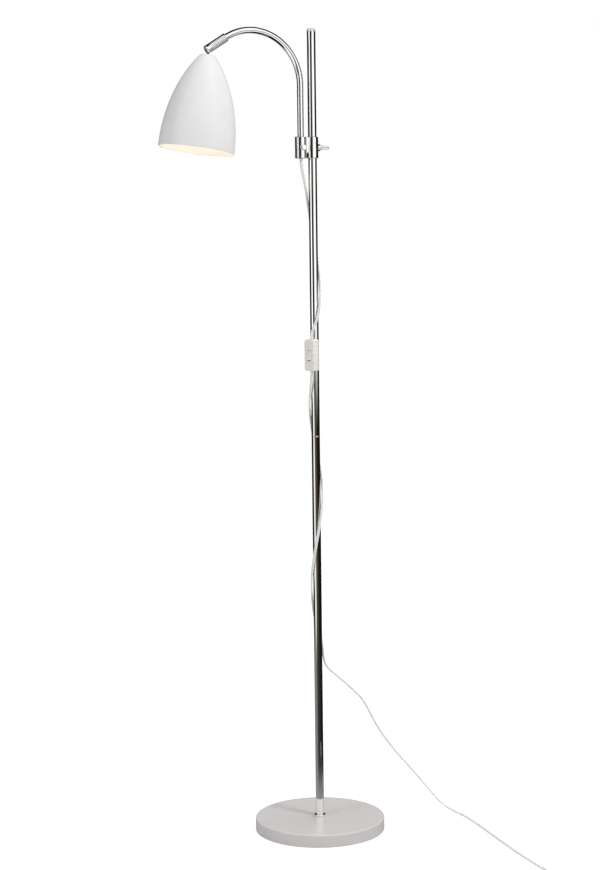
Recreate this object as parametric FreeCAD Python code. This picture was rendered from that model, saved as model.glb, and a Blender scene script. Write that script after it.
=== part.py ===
"""Reading floor lamp with a rigid bent neck, built piece by piece in millimetres.

The origin is the centre of the base, on the floor. +Z is up, the neck reaches
towards -X, and the front, where the small arm screw sits, faces -Y.
"""
import FreeCAD, Part
import math
import os

V = FreeCAD.Vector
X_AXIS = V(1, 0, 0)
Y_AXIS = V(0, 1, 0)
Z_AXIS = V(0, 0, 1)

# ------------------------------------------------------------ driving dimensions
# fits
fit_gap = 0.05              # radial gap of turned pieces that fit in each other
loose_gap = 0.3             # gap between neighbours that only lie beside each other

# base
base_d = 250.0
base_h = 25.0
base_edge_r = 3.0
cover_wall = 1.5
cover_lift = 0.8            # the cover's lower edge stays this far off the floor
weight_gap = 0.5            # between the weight and the cover's wall
weight_web_t = 12.0
weight_rim_w = 20.0
pad_t = 3.0
pad_margin = 3.0            # the pad ends this far inside the weight's edge
foot_stud_d = 10.0
foot_stud_reach = 15.0      # length of the stud inside the pole's foot
foot_washer_d = 28.0
foot_washer_t = 2.0
foot_nut_af = 17.0
foot_nut_h = 5.0
foot_stud_spare = 0.5       # thread that shows below the foot nut
foot_collar_d = 21.5
foot_collar_h = 5.0

# pole
pole_d = 16.0
pole_wall = 1.0
lower_pole_len = 741.5
upper_pole_len = 758.0
insert_len = 20.0
joint_ring_t = 1.5
joint_stud_d = 10.0
joint_stud_reach = 14.0     # length of the joint stud in each section
cap_dome_h = 6.0
cap_overhang = 0.6
cap_spigot_len = 12.0

# clamp
clamp_height = 1291.0       # lower face of the clamp above the floor
clamp_h = 40.0
pole_barrel_d = 22.0
arm_barrel_d = 22.0
barrel_spacing = 24.0       # pole axis to arm axis
clamp_web_t = 10.0
clamp_chamfer = 0.8
liner_wall = 0.95
liner_slit = 1.5
pole_boss_d = 13.0
pole_boss_h = 4.0           # beyond the barrel
pole_screw_d = 5.0
pole_knob_d = 8.0
pole_knob_len = 17.0
pole_knob_tip_d = 5.0
pole_knob_tip_len = 3.0
arm_boss_d = 11.0
arm_boss_h = 1.0
arm_screw_d = 4.0
arm_knob_d = 10.0
arm_knob_len = 3.5
knurl_teeth = 28
knurl_depth = 0.35

# arm and its lead
arm_d = 12.0
arm_wall = 1.0
arm_rise = 135.0            # clamp's lower face to the start of the bend
arm_bend_r = 98.0
arm_bend_turn = 122.0
arm_end_len = 8.0           # straight end past the bend
grommet_flange_t = 2.0
grommet_len = 10.0
lead_d = 5.8
lead_gap = 0.1

# ball joint grip, along the neck's last direction
sleeve_d = 16.5
sleeve_root_d = 15.0
sleeve_len = 38.0
sleeve_back_ring = 2.0
rib_count = 11
rib_pitch = 3.0
cavity_d = 13.2
insert_thread_len = 8.0
insert_bore_d = 6.0
disc_count = 4
disc_t = 0.8
disc_cone = 0.4
disc_bore_d = 6.8
ball_d = 10.0
ball_from_sleeve = 2.2      # ball centre past the sleeve's end
seat_body_d = 12.8
seat_nose_d = 11.0
seat_bore_d = 6.2
seat_body_len = 12.0
cap_gap = 0.2
cap_len = 8.0
cap_edge_r = 2.0
cap_spigot_d = 13.0
cap_spigot_bore_d = 11.2
cap_spigot_reach = 5.2
cap_ring_wire_d = 1.0
cap_ring_back = 1.5         # ring plane behind the sleeve's end
slot_gap = 0.6              # each side of the stem
slot_depth = 0.7            # the slot ends this far in front of the cap's back face

# shade and lamp, measured along the shade's axis from the ball centre
shade_tilt = 8.64           # lean of the shade's axis from upright
shade_drop = 11.5           # ball centre to the shade's flat top
shade_h = 174.0
shade_mouth_d = 140.0
shade_form_h = 185.0        # height at which the outline would close
shade_form_power = 2.05
shade_form_root = 1.27
shade_t = 1.0
shade_top_edge_r = 1.2
outline_steps = 10
stem_d = 5.0
stem_bore_d = 3.2
stem_flange_d = 8.5
stem_flange_t = 1.8
stem_tail_d = 8.0
stem_tail_len = 12.5
shade_washer_d = 18.0
shade_washer_t = 1.0
lock_nut_af = 13.0
lock_nut_h = 4.0
holder_d = 38.0
holder_wall = 2.0
holder_cap_h = 19.5
holder_cap_neck_d = 18.0
holder_cap_neck_h = 7.0
holder_body_h = 29.0
holder_floor_t = 4.0
holder_bore_d = 28.8
screw_shell_t = 0.6
screw_shell_len = 23.0
contact_d = 5.0
contact_head_d = 10.0
bulb_cap_d = 26.0
bulb_cap_h = 24.0
bulb_cap_wall = 0.6
bulb_tip_d = 9.0
bulb_d = 60.0
bulb_len = 100.0            # contact tip to the crown of the glass
bulb_neck_d = 25.0
glass_t = 1.0

# cord, switch and plug
cord_d = 5.6
cord_wind_r = 11.7          # axis of the pole to the middle of the wound cord
switch_w = 25.0
switch_depth = 15.0
switch_len = 59.0
switch_top_z = 952.0
switch_x = -12.4
switch_y = -11.8
switch_facing = 202.0       # direction the rocker faces, from +X
switch_edge_r = 2.5
switch_wall = 2.0
switch_split = -1.0         # plane between the shells, from the middle
cord_entry = 6.0            # cord inside the switch at each end
rocker_len = 18.6
rocker_w = 9.0
rocker_rise = 1.6           # height of the rocker's ends over its waist
rocker_drop = 0.4           # rocker's middle below the switch's middle
rocker_lean = 8.0           # rest angle, lower end proud
rocker_gap = 0.3
rocker_end_gap = 1.2
rocker_pin_d = 2.0
rocker_pin_depth = 3.5      # pin axis behind the front face
switch_screw_d = 2.4
switch_screw_head_d = 5.6
switch_screw_len = 11.0
contact_strip_len = 24.0
contact_strip_w = 2.4
contact_strip_t = 0.8
contact_strip_y = 2.8      # switch's middle to a strip's middle
coil_start_x = 248.0
coil_start_y = -520.0
coil_low_z = 4.0            # middle of the lower layer
coil_mid_r = 33.0
coil_pitch = 6.3            # turn to turn, and layer to layer
coil_layer_turns = 2
coil_end_len = 6.0
tie_t = 0.7
tie_w = 8.0
tie_gap = 0.4
relief_len = 22.0
relief_tip_d = 7.2
relief_root_d = 13.0
plug_w = 25.0
plug_t = 20.0
plug_len = 28.0
plug_edge_r = 4.0
blade_w = 6.35
blade_t = 1.5
blade_len = 17.0
blade_root = 8.0
blade_spacing = 12.7
blade_hole_d = 3.2

# cord routes, chosen by hand
upper_route = [
    (-24.0, 0.0, 1291.0), (-24.0, 0.0, 1279.0), (-18.4, 2.0, 1257.0),
    (-12.9, 4.6, 1236.0), (-8.2, 8.4, 1214.0), (-5.116, 9.961, 1200.0)]
middle_wound = [            # angle from +X and height, at cord_wind_r
    (100, 1186), (78, 1160), (57, 1134), (35, 1107), (12, 1079), (-12, 1052),
    (-40, 1026), (-72, 1002), (-107, 981)]
lower_wound = [
    (-203, 832), (-232, 805), (-261, 777), (-291, 749), (-321, 721),
    (-352, 692), (-383, 662), (-413, 632), (-442, 602), (-471, 572),
    (-500, 542), (-529, 512), (-557, 483), (-584, 455), (-611, 428),
    (-643, 404), (-676, 382), (-700, 360)]
lower_free = [
    (11.7, 0.6, 337.0), (15.5, 0.0, 322.0), (26.5, 0.5, 309.0), (46.0, 2.5, 293.0),
    (74.0, 6.0, 268.0), (99.0, 9.0, 244.0), (115.5, 10.5, 216.0),
    (130.0, 12.0, 189.0), (149.0, 13.0, 160.0), (173.0, 12.5, 129.0),
    (203.0, 10.0, 94.0), (231.0, 7.0, 61.0), (253.0, 2.0, 31.0),
    (270.0, -9.0, 11.0), (281.0, -30.0, 3.4), (285.0, -62.0, 3.0),
    (282.0, -108.0, 3.0), (274.0, -172.0, 3.0), (264.0, -246.0, 3.0),
    (255.0, -322.0, 3.0), (249.6, -392.0, 3.0), (247.6, -446.0, 3.2),
    (248.0, -486.0, 4.0)]

# ------------------------------------------------------------------- shape tools
def rounded_wire(corners):
    """Closed wire in the XZ plane; a corner's third number is its rounding radius."""
    edges = []
    count = len(corners)
    spans = []
    for i, corner in enumerate(corners):
        here = V(corner[0], 0, corner[1])
        before = V(corners[i - 1][0], 0, corners[i - 1][1])
        after = V(corners[(i + 1) % count][0], 0, corners[(i + 1) % count][1])
        radius = corner[2] if len(corner) > 2 else 0.0
        if radius <= 0:
            spans.append((here, None, here))
            continue
        back = (before - here).normalize()
        ahead = (after - here).normalize()
        half = back.getAngle(ahead) / 2
        reach = radius / math.tan(half)
        middle = here + (back + ahead).normalize() * (radius / math.sin(half) - radius)
        spans.append((here + back * reach, middle, here + ahead * reach))
    for i, (start, middle, end) in enumerate(spans):
        if middle is not None:
            edges.append(Part.Arc(start, middle, end).toShape())
        following = spans[(i + 1) % count][0]
        if (following - end).Length > 1e-6:
            edges.append(Part.LineSegment(end, following).toShape())
    return Part.Wire(edges)


def turned(corners):
    """Solid turned about Z from (radius, height, rounding) corners."""
    return Part.Face(rounded_wire(corners)).revolve(V(0, 0, 0), Z_AXIS, 360)


def rod(diameter, bottom, top):
    """Cylinder on the Z axis."""
    return Part.makeCylinder(diameter / 2, top - bottom, V(0, 0, bottom))


def pipe(outer_d, inner_d, bottom, top):
    """Hollow cylinder on the Z axis."""
    return rod(outer_d, bottom, top).cut(rod(inner_d, bottom, top))


def hexagon(across_flats, bore_d, bottom, top):
    """Hexagonal nut on the Z axis."""
    corner_r = across_flats / math.sqrt(3)
    corners = [V(corner_r * math.cos(math.radians(60 * i)),
                 corner_r * math.sin(math.radians(60 * i)), bottom) for i in range(7)]
    block = Part.Face(Part.makePolygon(corners)).extrude(V(0, 0, top - bottom))
    return block.cut(rod(bore_d, bottom, top))


def knurled(diameter, bottom, top):
    """Cylinder on the Z axis with straight knurling."""
    points = []
    for i in range(2 * knurl_teeth + 1):
        angle = math.pi * i / knurl_teeth
        radius = diameter / 2 - knurl_depth * (i % 2)
        points.append(V(radius * math.cos(angle), radius * math.sin(angle), bottom))
    return Part.Face(Part.makePolygon(points)).extrude(V(0, 0, top - bottom))


def placed(shape, origin, z_dir, x_dir):
    """Copy of a shape drawn at the origin, moved to its own place and directions."""
    z = V(z_dir).normalize()
    x = V(x_dir).normalize()
    y = z.cross(x)
    matrix = FreeCAD.Matrix(x.x, y.x, z.x, origin.x, x.y, y.y, z.y, origin.y,
                            x.z, y.z, z.z, origin.z, 0, 0, 0, 1)
    moved = shape.copy()
    moved.Placement = FreeCAD.Placement(matrix)
    return moved


def arc_from(start, direction, end):
    """Arc that leaves start along direction and ends at end."""
    chord = end - start
    along = V(chord).normalize()
    turn = direction.getAngle(chord)
    if turn < 1e-6:
        return Part.LineSegment(start, end).toShape()
    side = (direction - along * direction.dot(along)).normalize()
    middle = (start + end) * 0.5 + side * (chord.Length / 2 * math.tan(turn / 2))
    return Part.Arc(start, middle, end).toShape()


def biarc(start, start_dir, end, end_dir):
    """Two arcs that leave start along start_dir and reach end along end_dir."""
    chord = end - start
    both = chord.dot(start_dir + end_dir)
    spread = 2 * (1 - start_dir.dot(end_dir))
    reach = (-both + math.sqrt(both ** 2 + spread * chord.dot(chord))) / spread
    middle = (start + end + (start_dir - end_dir) * reach) * 0.5
    middle_dir = ((end - end_dir * reach) - (start + start_dir * reach)).normalize()
    return [arc_from(start, start_dir, middle), arc_from(middle, middle_dir, end)]


def cord_wire(route):
    """Straight runs joined by tangent arcs, as large as their runs allow."""
    points = [V(*point) for point in route]
    edges = []
    radii = []
    last = points[0]
    for before, here, after in zip(points, points[1:], points[2:]):
        inward = (here - before).normalize()
        outward = (after - here).normalize()
        half = inward.getAngle(outward) / 2
        reach = 0.45 * min((here - before).Length, (after - here).Length)
        radius = reach / math.tan(half)
        radii.append(radius)
        start = here - inward * reach
        end = here + outward * reach
        edges.append(Part.LineSegment(last, start).toShape())
        edges.append(arc_from(start, inward, end))
        last = end
    edges.append(Part.LineSegment(last, points[-1]).toShape())
    return Part.Wire(edges), radii


def swept(wire, diameter, start, direction):
    """Round rod along a wire."""
    circle = Part.Wire(Part.makeCircle(diameter / 2, start, direction))
    return wire.makePipeShell([circle], True, False)


def cord_tube(name, route):
    """Tube of the cord along a route; prints its radii and checks its volume."""
    wire, radii = cord_wire(route)
    start = V(*route[0])
    solid = swept(wire, cord_d, start, V(*route[1]) - start)
    expected = math.pi * cord_d ** 2 / 4 * wire.Length
    print("%s: length %.0f, arc radii %s, volume ratio %.4f" % (
        name, wire.Length, " ".join("%.0f" % radius for radius in radii),
        solid.Volume / expected))
    return solid


def on_pole(angle, height):
    """Point of the cord's winding round the pole."""
    turn = math.radians(angle)
    return (cord_wind_r * math.cos(turn), cord_wind_r * math.sin(turn), height)


nodes = {}

# -------------------------------------------------------------------------- base
base_r = base_d / 2
cover_top = base_h
cover_under = base_h - cover_wall
stud_hole_d = foot_stud_d + 2 * loose_gap

nodes["base_cover"] = turned([
    (stud_hole_d / 2, cover_under), (stud_hole_d / 2, cover_top),
    (base_r, cover_top, base_edge_r), (base_r, cover_lift),
    (base_r - cover_wall, cover_lift),
    (base_r - cover_wall, cover_under, max(base_edge_r - cover_wall, 0.2))])

weight_r = base_r - cover_wall - weight_gap
web_under = cover_under - weight_web_t
nodes["base_weight"] = turned([
    (stud_hole_d / 2, cover_under), (weight_r, cover_under, base_edge_r),
    (weight_r, pad_t), (weight_r - weight_rim_w, pad_t),
    (weight_r - weight_rim_w, web_under), (stud_hole_d / 2, web_under)])
nodes["base_pad"] = rod(2 * (weight_r - pad_margin), 0, pad_t)

washer_under = web_under - foot_washer_t
nut_under = washer_under - foot_nut_h
stud_top = cover_top + foot_stud_reach
threaded_d = foot_stud_d + 2 * fit_gap
nodes["foot_washer"] = pipe(foot_washer_d, threaded_d, washer_under, web_under)
nodes["foot_nut"] = hexagon(foot_nut_af, threaded_d, nut_under, washer_under)
nodes["foot_stud"] = rod(foot_stud_d, nut_under - foot_stud_spare, stud_top)

collar_bore_d = pole_d + 2 * fit_gap
nodes["foot_collar"] = turned([
    (collar_bore_d / 2, cover_top), (foot_collar_d / 2, cover_top),
    (foot_collar_d / 2, cover_top + foot_collar_h, foot_collar_h / 3),
    (collar_bore_d / 2, cover_top + foot_collar_h)])

# -------------------------------------------------------------------------- pole
pole_bore_d = pole_d - 2 * pole_wall
insert_d = pole_bore_d - 2 * fit_gap
joint_z = cover_top + lower_pole_len
upper_z = joint_z + joint_ring_t
pole_top = upper_z + upper_pole_len
joint_thread_d = joint_stud_d + 2 * fit_gap

nodes["lower_pole"] = pipe(pole_d, pole_bore_d, cover_top, joint_z)
nodes["foot_insert"] = pipe(insert_d, threaded_d, cover_top, cover_top + insert_len)
nodes["lower_insert"] = pipe(insert_d, joint_thread_d, joint_z - insert_len, joint_z)
nodes["joint_ring"] = pipe(pole_d, joint_thread_d, joint_z, upper_z)
nodes["joint_stud"] = rod(joint_stud_d, joint_z - joint_stud_reach,
                          upper_z + joint_stud_reach)
nodes["upper_insert"] = pipe(insert_d, joint_thread_d, upper_z, upper_z + insert_len)
nodes["upper_pole"] = pipe(pole_d, pole_bore_d, upper_z, pole_top)

cap_r = pole_d / 2 + cap_overhang
cap_top = pole_top + cap_dome_h
nodes["pole_cap"] = turned([
    (0, pole_top - cap_spigot_len), (insert_d / 2, pole_top - cap_spigot_len, 0.6),
    (insert_d / 2, pole_top), (cap_r, pole_top), (cap_r, cap_top, cap_dome_h * 0.8),
    (0, cap_top)])

# ------------------------------------------------------------------------- clamp
clamp_top = clamp_height + clamp_h
screw_z = clamp_height + clamp_h / 2
liner_bore_d = pole_d + 2 * fit_gap
liner_d = liner_bore_d + 2 * liner_wall
clamp_pole_bore_d = liner_d + 2 * fit_gap
clamp_arm_bore_d = arm_d + 2 * fit_gap
arm_x = -barrel_spacing
pole_boss_x = pole_barrel_d / 2 + pole_boss_h
arm_boss_y = arm_barrel_d / 2 + arm_boss_h


def barrel(diameter):
    """One barrel of the clamp, drawn on the Z axis with chamfered ends."""
    radius = diameter / 2
    inside = radius - clamp_chamfer
    return turned([(0, clamp_height), (inside, clamp_height),
                   (radius, clamp_height + clamp_chamfer),
                   (radius, clamp_top - clamp_chamfer), (inside, clamp_top),
                   (0, clamp_top)])


pole_liner = pipe(liner_d, liner_bore_d, clamp_height, clamp_top)
slit = Part.makeBox(liner_d, liner_slit, clamp_h, V(-liner_d, -liner_slit / 2, clamp_height))
nodes["pole_liner"] = pole_liner.cut(slit)

web = Part.makeBox(barrel_spacing, clamp_web_t, clamp_h - 2 * clamp_chamfer,
                   V(arm_x, -clamp_web_t / 2, clamp_height + clamp_chamfer))
arm_barrel = barrel(arm_barrel_d)
arm_barrel.translate(V(arm_x, 0, 0))
pole_boss = Part.makeCylinder(pole_boss_d / 2, pole_boss_x, V(0, 0, screw_z), X_AXIS)
arm_boss = Part.makeCylinder(arm_boss_d / 2, arm_boss_y, V(arm_x, 0, screw_z), -Y_AXIS)
clamp_body = barrel(pole_barrel_d).fuse([arm_barrel, web, pole_boss, arm_boss])
arm_hole = rod(clamp_arm_bore_d, clamp_height, clamp_top)
arm_hole.translate(V(arm_x, 0, 0))
pole_screw_hole = Part.makeCylinder(pole_screw_d / 2 + fit_gap, pole_boss_x,
                                    V(0, 0, screw_z), X_AXIS)
arm_screw_hole = Part.makeCylinder(arm_screw_d / 2 + fit_gap, arm_boss_y,
                                   V(arm_x, 0, screw_z), -Y_AXIS)
nodes["clamp_body"] = clamp_body.cut([
    rod(clamp_pole_bore_d, clamp_height, clamp_top), arm_hole, pole_screw_hole,
    arm_screw_hole]).removeSplitter()

# the pole screw bears on the liner and its knob stands clear of the boss
pole_knob_x = pole_boss_x + cap_gap
pole_knob_end = pole_knob_x + pole_knob_len
pole_screw = rod(pole_screw_d, liner_d / 2 + fit_gap, pole_knob_x).fuse([
    knurled(pole_knob_d, pole_knob_x, pole_knob_end),
    turned([(0, pole_knob_end), (pole_knob_tip_d / 2, pole_knob_end),
            (pole_knob_tip_d / 2, pole_knob_end + pole_knob_tip_len, pole_knob_tip_d / 4),
            (0, pole_knob_end + pole_knob_tip_len)])])
nodes["pole_screw"] = placed(pole_screw, V(0, 0, screw_z), X_AXIS, Y_AXIS)

# the arm screw bears on the arm tube
arm_knob_y = arm_boss_y + cap_gap
arm_screw = rod(arm_screw_d, arm_d / 2 + fit_gap, arm_knob_y).fuse(
    knurled(arm_knob_d, arm_knob_y, arm_knob_y + arm_knob_len))
driver_slot = Part.makeBox(arm_knob_d, arm_knob_len / 3, arm_knob_len / 3,
                           V(-arm_knob_d / 2, -arm_knob_len / 6,
                             arm_knob_y + arm_knob_len * 2 / 3))
nodes["arm_screw"] = placed(arm_screw.cut(driver_slot), V(arm_x, 0, screw_z), -Y_AXIS, X_AXIS)

# --------------------------------------------------------------------------- arm
arm_bottom = clamp_height + grommet_flange_t
bend_z = clamp_height + arm_rise
bend_centre = V(arm_x - arm_bend_r, 0, bend_z)
turn = math.radians(arm_bend_turn)
bend_end = bend_centre + V(arm_bend_r * math.cos(turn), 0, arm_bend_r * math.sin(turn))
bend_middle = bend_centre + V(arm_bend_r * math.cos(turn / 2), 0,
                              arm_bend_r * math.sin(turn / 2))
neck_dir = V(-math.sin(turn), 0, math.cos(turn))    # from the bend out to the ball
slot_dir = V(-math.cos(turn), 0, -math.sin(turn))   # side of the cap that the slot opens


def neck_point(distance):
    """Point on the grip's axis, measured from the end of the bend."""
    return bend_end + neck_dir * distance


def on_neck(shape):
    """Move a shape drawn on the Z axis to the grip's axis."""
    return placed(shape, bend_end, neck_dir, slot_dir)


def along_arm(bottom, diameter, past_bend):
    """Rod along the arm's centre line."""
    start = V(arm_x, 0, bottom)
    bend_start = V(arm_x, 0, bend_z)
    wire = Part.Wire([
        Part.LineSegment(start, bend_start).toShape(),
        Part.Arc(bend_start, bend_middle, bend_end).toShape(),
        Part.LineSegment(bend_end, neck_point(past_bend)).toShape()])
    return swept(wire, diameter, start, Z_AXIS)


arm_bore_d = arm_d - 2 * arm_wall
lead_bore_d = lead_d + 2 * lead_gap
nodes["arm_tube"] = along_arm(arm_bottom, arm_d, arm_end_len).cut(
    along_arm(arm_bottom, arm_bore_d, arm_end_len))
grommet = pipe(arm_d, lead_bore_d, clamp_height, arm_bottom).fuse(
    pipe(arm_bore_d - 2 * fit_gap, lead_bore_d, arm_bottom, arm_bottom + grommet_len))
grommet.translate(V(arm_x, 0, 0))
nodes["arm_grommet"] = grommet.removeSplitter()

thread_end = arm_end_len + insert_thread_len
nodes["arm_lead"] = along_arm(clamp_height, lead_d, thread_end)
neck_insert = pipe(arm_bore_d - 2 * fit_gap, insert_bore_d, 0, arm_end_len).fuse(
    pipe(arm_d, insert_bore_d, arm_end_len, thread_end))
nodes["neck_insert"] = on_neck(neck_insert.removeSplitter())

# -------------------------------------------------------------- ball joint grip
sleeve_r = sleeve_d / 2
sleeve_root_r = sleeve_root_d / 2
sleeve_bore_r = arm_d / 2 + fit_gap
cavity_r = cavity_d / 2
ribs_end = sleeve_back_ring + rib_count * rib_pitch
ball_at = sleeve_len + ball_from_sleeve
ball_r = ball_d / 2
ring_at = sleeve_len - cap_ring_back
ring_groove = Part.makeTorus(cap_spigot_d / 2, cap_ring_wire_d / 2 + fit_gap, V(0, 0, ring_at))


def sleeve_outline():
    """Closed wire of the sleeve's wall, with a row of half-round ribs."""
    corners = [V(sleeve_bore_r, 0, 0), V(sleeve_r, 0, 0), V(sleeve_r, 0, sleeve_back_ring),
               V(sleeve_root_r, 0, sleeve_back_ring)]
    edges = [Part.LineSegment(a, b).toShape() for a, b in zip(corners, corners[1:])]
    for i in range(rib_count):
        start = sleeve_back_ring + i * rib_pitch
        edges.append(Part.Arc(V(sleeve_root_r, 0, start),
                              V(sleeve_r, 0, start + rib_pitch / 2),
                              V(sleeve_root_r, 0, start + rib_pitch)).toShape())
    corners = [V(sleeve_root_r, 0, ribs_end), V(sleeve_r, 0, ribs_end),
               V(sleeve_r, 0, sleeve_len), V(cavity_r, 0, sleeve_len),
               V(cavity_r, 0, thread_end), V(sleeve_bore_r, 0, thread_end),
               V(sleeve_bore_r, 0, 0)]
    edges += [Part.LineSegment(a, b).toShape() for a, b in zip(corners, corners[1:])]
    return Part.Wire(edges)


grip_sleeve = Part.Face(sleeve_outline()).revolve(V(0, 0, 0), Z_AXIS, 360)
nodes["grip_sleeve"] = on_neck(grip_sleeve.cut(ring_groove))

disc_h = disc_t + disc_cone
disc_r = cavity_r - loose_gap
discs = []
for i in range(disc_count):
    base = thread_end + i * disc_h
    inner, outer = (0, disc_cone) if i % 2 == 0 else (disc_cone, 0)
    discs.append(turned([
        (disc_bore_d / 2, base + inner), (disc_r, base + outer),
        (disc_r, base + outer + disc_t), (disc_bore_d / 2, base + inner + disc_t)]))
discs_end = thread_end + disc_count * disc_h
nodes["friction_discs"] = on_neck(Part.makeCompound(discs))

seat_front = sleeve_len + cap_gap
spigot_back = seat_front - cap_spigot_reach
seat_shoulder = min(discs_end + seat_body_len, spigot_back - cap_gap)
ball_hollow = Part.makeSphere(ball_r + fit_gap, V(0, 0, ball_at))
seat = pipe(seat_body_d, seat_bore_d, discs_end, seat_shoulder).fuse(
    pipe(seat_nose_d, seat_bore_d, seat_shoulder, seat_front)).cut(ball_hollow)
nodes["ball_seat"] = on_neck(seat.removeSplitter())

cap_ring = Part.makeTorus(cap_spigot_d / 2, cap_ring_wire_d / 2, V(0, 0, ring_at))
ring_cut = Part.makeBox(cap_spigot_d, cap_ring_wire_d, 2 * cap_ring_wire_d,
                        V(-cap_spigot_d, -cap_ring_wire_d / 2, ring_at - cap_ring_wire_d))
nodes["cap_ring"] = on_neck(cap_ring.cut(ring_cut))

cap_front = seat_front + cap_len
stem_way_d = stem_d + 2 * slot_gap
neck_cap = turned([
    (cap_spigot_bore_d / 2, spigot_back), (cap_spigot_d / 2, spigot_back),
    (cap_spigot_d / 2, seat_front), (sleeve_r, seat_front),
    (sleeve_r, cap_front, cap_edge_r), (0, cap_front), (0, ball_at),
    (cap_spigot_bore_d / 2, ball_at)])
slot = Part.makeBox(sleeve_d, stem_way_d, cap_len,
                    V(0, -stem_way_d / 2, seat_front + slot_depth))
neck_cap = neck_cap.cut([ball_hollow, rod(stem_way_d, ball_at, cap_front), slot, ring_groove])
nodes["neck_cap"] = on_neck(neck_cap)

# --------------------------------------------------------------- shade and lamp
ball_centre = neck_point(ball_at)
lean = math.radians(shade_tilt)
shade_up = V(math.sin(lean), 0, math.cos(lean))
shade_side = V(math.cos(lean), 0, -math.sin(lean))


def on_shade(shape):
    """Move a shape drawn below the origin on the Z axis to the shade's axis."""
    return placed(shape, ball_centre, shade_up, shade_side)


def shade_radius(above_mouth):
    """Outer radius of the shade at a height above its mouth."""
    closed = (above_mouth / shade_form_h) ** shade_form_power
    return shade_mouth_d / 2 * (1 - closed) ** (1 / shade_form_root)


def shade_point(above_mouth, inset):
    """Point of the shade's wall, moved square to the wall by inset."""
    step = 0.5
    slope = (shade_radius(above_mouth) - shade_radius(above_mouth + step)) / step
    normal = V(1, 0, slope).normalize()
    place = V(shade_radius(above_mouth), 0, above_mouth - shade_h - shade_drop)
    return place - normal * inset


def shade_wall(inset, top):
    """Curve of the shade's wall from its mouth up to a height."""
    heights = [top * i / outline_steps for i in range(outline_steps + 1)]
    curve = Part.BSplineCurve()
    curve.interpolate([shade_point(height, inset) for height in heights])
    return curve.toShape()


shade_top = -shade_drop
shade_under = shade_top - shade_t
tail_hole_r = stem_tail_d / 2 + 3 * fit_gap
outer_wall = shade_wall(0, shade_h - shade_top_edge_r)
inner_wall = shade_wall(shade_t, shade_h - shade_top_edge_r - shade_t)
outer_end = outer_wall.Vertexes[-1].Point
inner_end = inner_wall.Vertexes[-1].Point
crown = V(outer_end.x - shade_top_edge_r, 0, shade_top)
crown_middle = V(outer_end.x - shade_top_edge_r * 0.35, 0, shade_top - shade_top_edge_r * 0.25)
shade_wire = Part.Wire(Part.__sortEdges__([
    outer_wall,
    Part.Arc(outer_end, crown_middle, crown).toShape(),
    Part.LineSegment(crown, V(tail_hole_r, 0, shade_top)).toShape(),
    Part.LineSegment(V(tail_hole_r, 0, shade_top), V(tail_hole_r, 0, shade_under)).toShape(),
    Part.LineSegment(V(tail_hole_r, 0, shade_under),
                     V(inner_end.x - shade_t, 0, shade_under)).toShape(),
    Part.LineSegment(V(inner_end.x - shade_t, 0, shade_under), inner_end).toShape(),
    inner_wall,
    Part.LineSegment(inner_wall.Vertexes[0].Point, outer_wall.Vertexes[0].Point).toShape()]))
nodes["shade_shell"] = on_shade(Part.Face(shade_wire).revolve(V(0, 0, 0), Z_AXIS, 360))

stem_r = stem_d / 2
tail_end = shade_top - stem_tail_len
flange_top = shade_top + stem_flange_t
ball_stem = Part.makeSphere(ball_r).fuse([
    rod(stem_d, flange_top, 0), rod(stem_flange_d, shade_top, flange_top),
    rod(stem_tail_d, tail_end, shade_top)]).cut(rod(stem_bore_d, tail_end, ball_r))
nodes["ball_stem"] = on_shade(ball_stem.removeSplitter())

washer_low = shade_under - shade_washer_t
nut_low = washer_low - lock_nut_h
tail_thread_d = stem_tail_d + 2 * fit_gap
nodes["shade_washer"] = on_shade(pipe(shade_washer_d, tail_thread_d, washer_low, shade_under))
nodes["lock_nut"] = on_shade(hexagon(lock_nut_af, tail_thread_d, nut_low, washer_low))

holder_r = holder_d / 2
cap_low = nut_low - holder_cap_h
neck_low = nut_low - holder_cap_neck_h
neck_r = holder_cap_neck_d / 2
shoulder_z = nut_low - holder_cap_h * 0.6
nodes["holder_cap"] = on_shade(turned([
    (tail_thread_d / 2, nut_low), (neck_r, nut_low, holder_wall), (holder_r, shoulder_z, 4.0),
    (holder_r, cap_low), (holder_r - holder_wall, cap_low),
    (holder_r - holder_wall, shoulder_z - holder_wall / 2, 3.0),
    (neck_r, nut_low - 2 * holder_wall), (neck_r - holder_wall, nut_low - 2 * holder_wall),
    (neck_r - holder_wall, neck_low), (tail_thread_d / 2, neck_low)]))

body_low = cap_low - holder_body_h
floor_low = cap_low - holder_floor_t
holder_bore_r = holder_bore_d / 2
contact_hole_r = contact_d / 2 + fit_gap
nodes["holder_body"] = on_shade(turned([
    (contact_hole_r, cap_low), (holder_r, cap_low), (holder_r, body_low, 1.2),
    (holder_bore_r, body_low), (holder_bore_r, floor_low), (contact_hole_r, floor_low)]))

shell_d = holder_bore_d - 2 * fit_gap
nodes["screw_shell"] = on_shade(pipe(
    shell_d, shell_d - 2 * screw_shell_t, floor_low - screw_shell_len, floor_low))
contact_low = floor_low - screw_shell_t
nodes["centre_contact"] = on_shade(rod(contact_d, floor_low, cap_low + 1.0).fuse(
    rod(contact_head_d, contact_low, floor_low)).removeSplitter())

bulb_cap_r = min(bulb_cap_d / 2, shell_d / 2 - screw_shell_t - fit_gap)
bulb_top = contact_low
bulb_cap_low = bulb_top - bulb_cap_h
inner_cap_r = bulb_cap_r - bulb_cap_wall
nodes["bulb_cap"] = on_shade(turned([
    (0, bulb_top), (bulb_tip_d / 2, bulb_top, 0.4), (bulb_tip_d / 2, bulb_top - 1.2),
    (bulb_cap_r * 0.75, bulb_top - 2.0), (bulb_cap_r, bulb_top - 4.0),
    (bulb_cap_r, bulb_cap_low), (inner_cap_r, bulb_cap_low),
    (inner_cap_r, bulb_top - 4.5), (0, bulb_top - 4.5)]))


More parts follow.
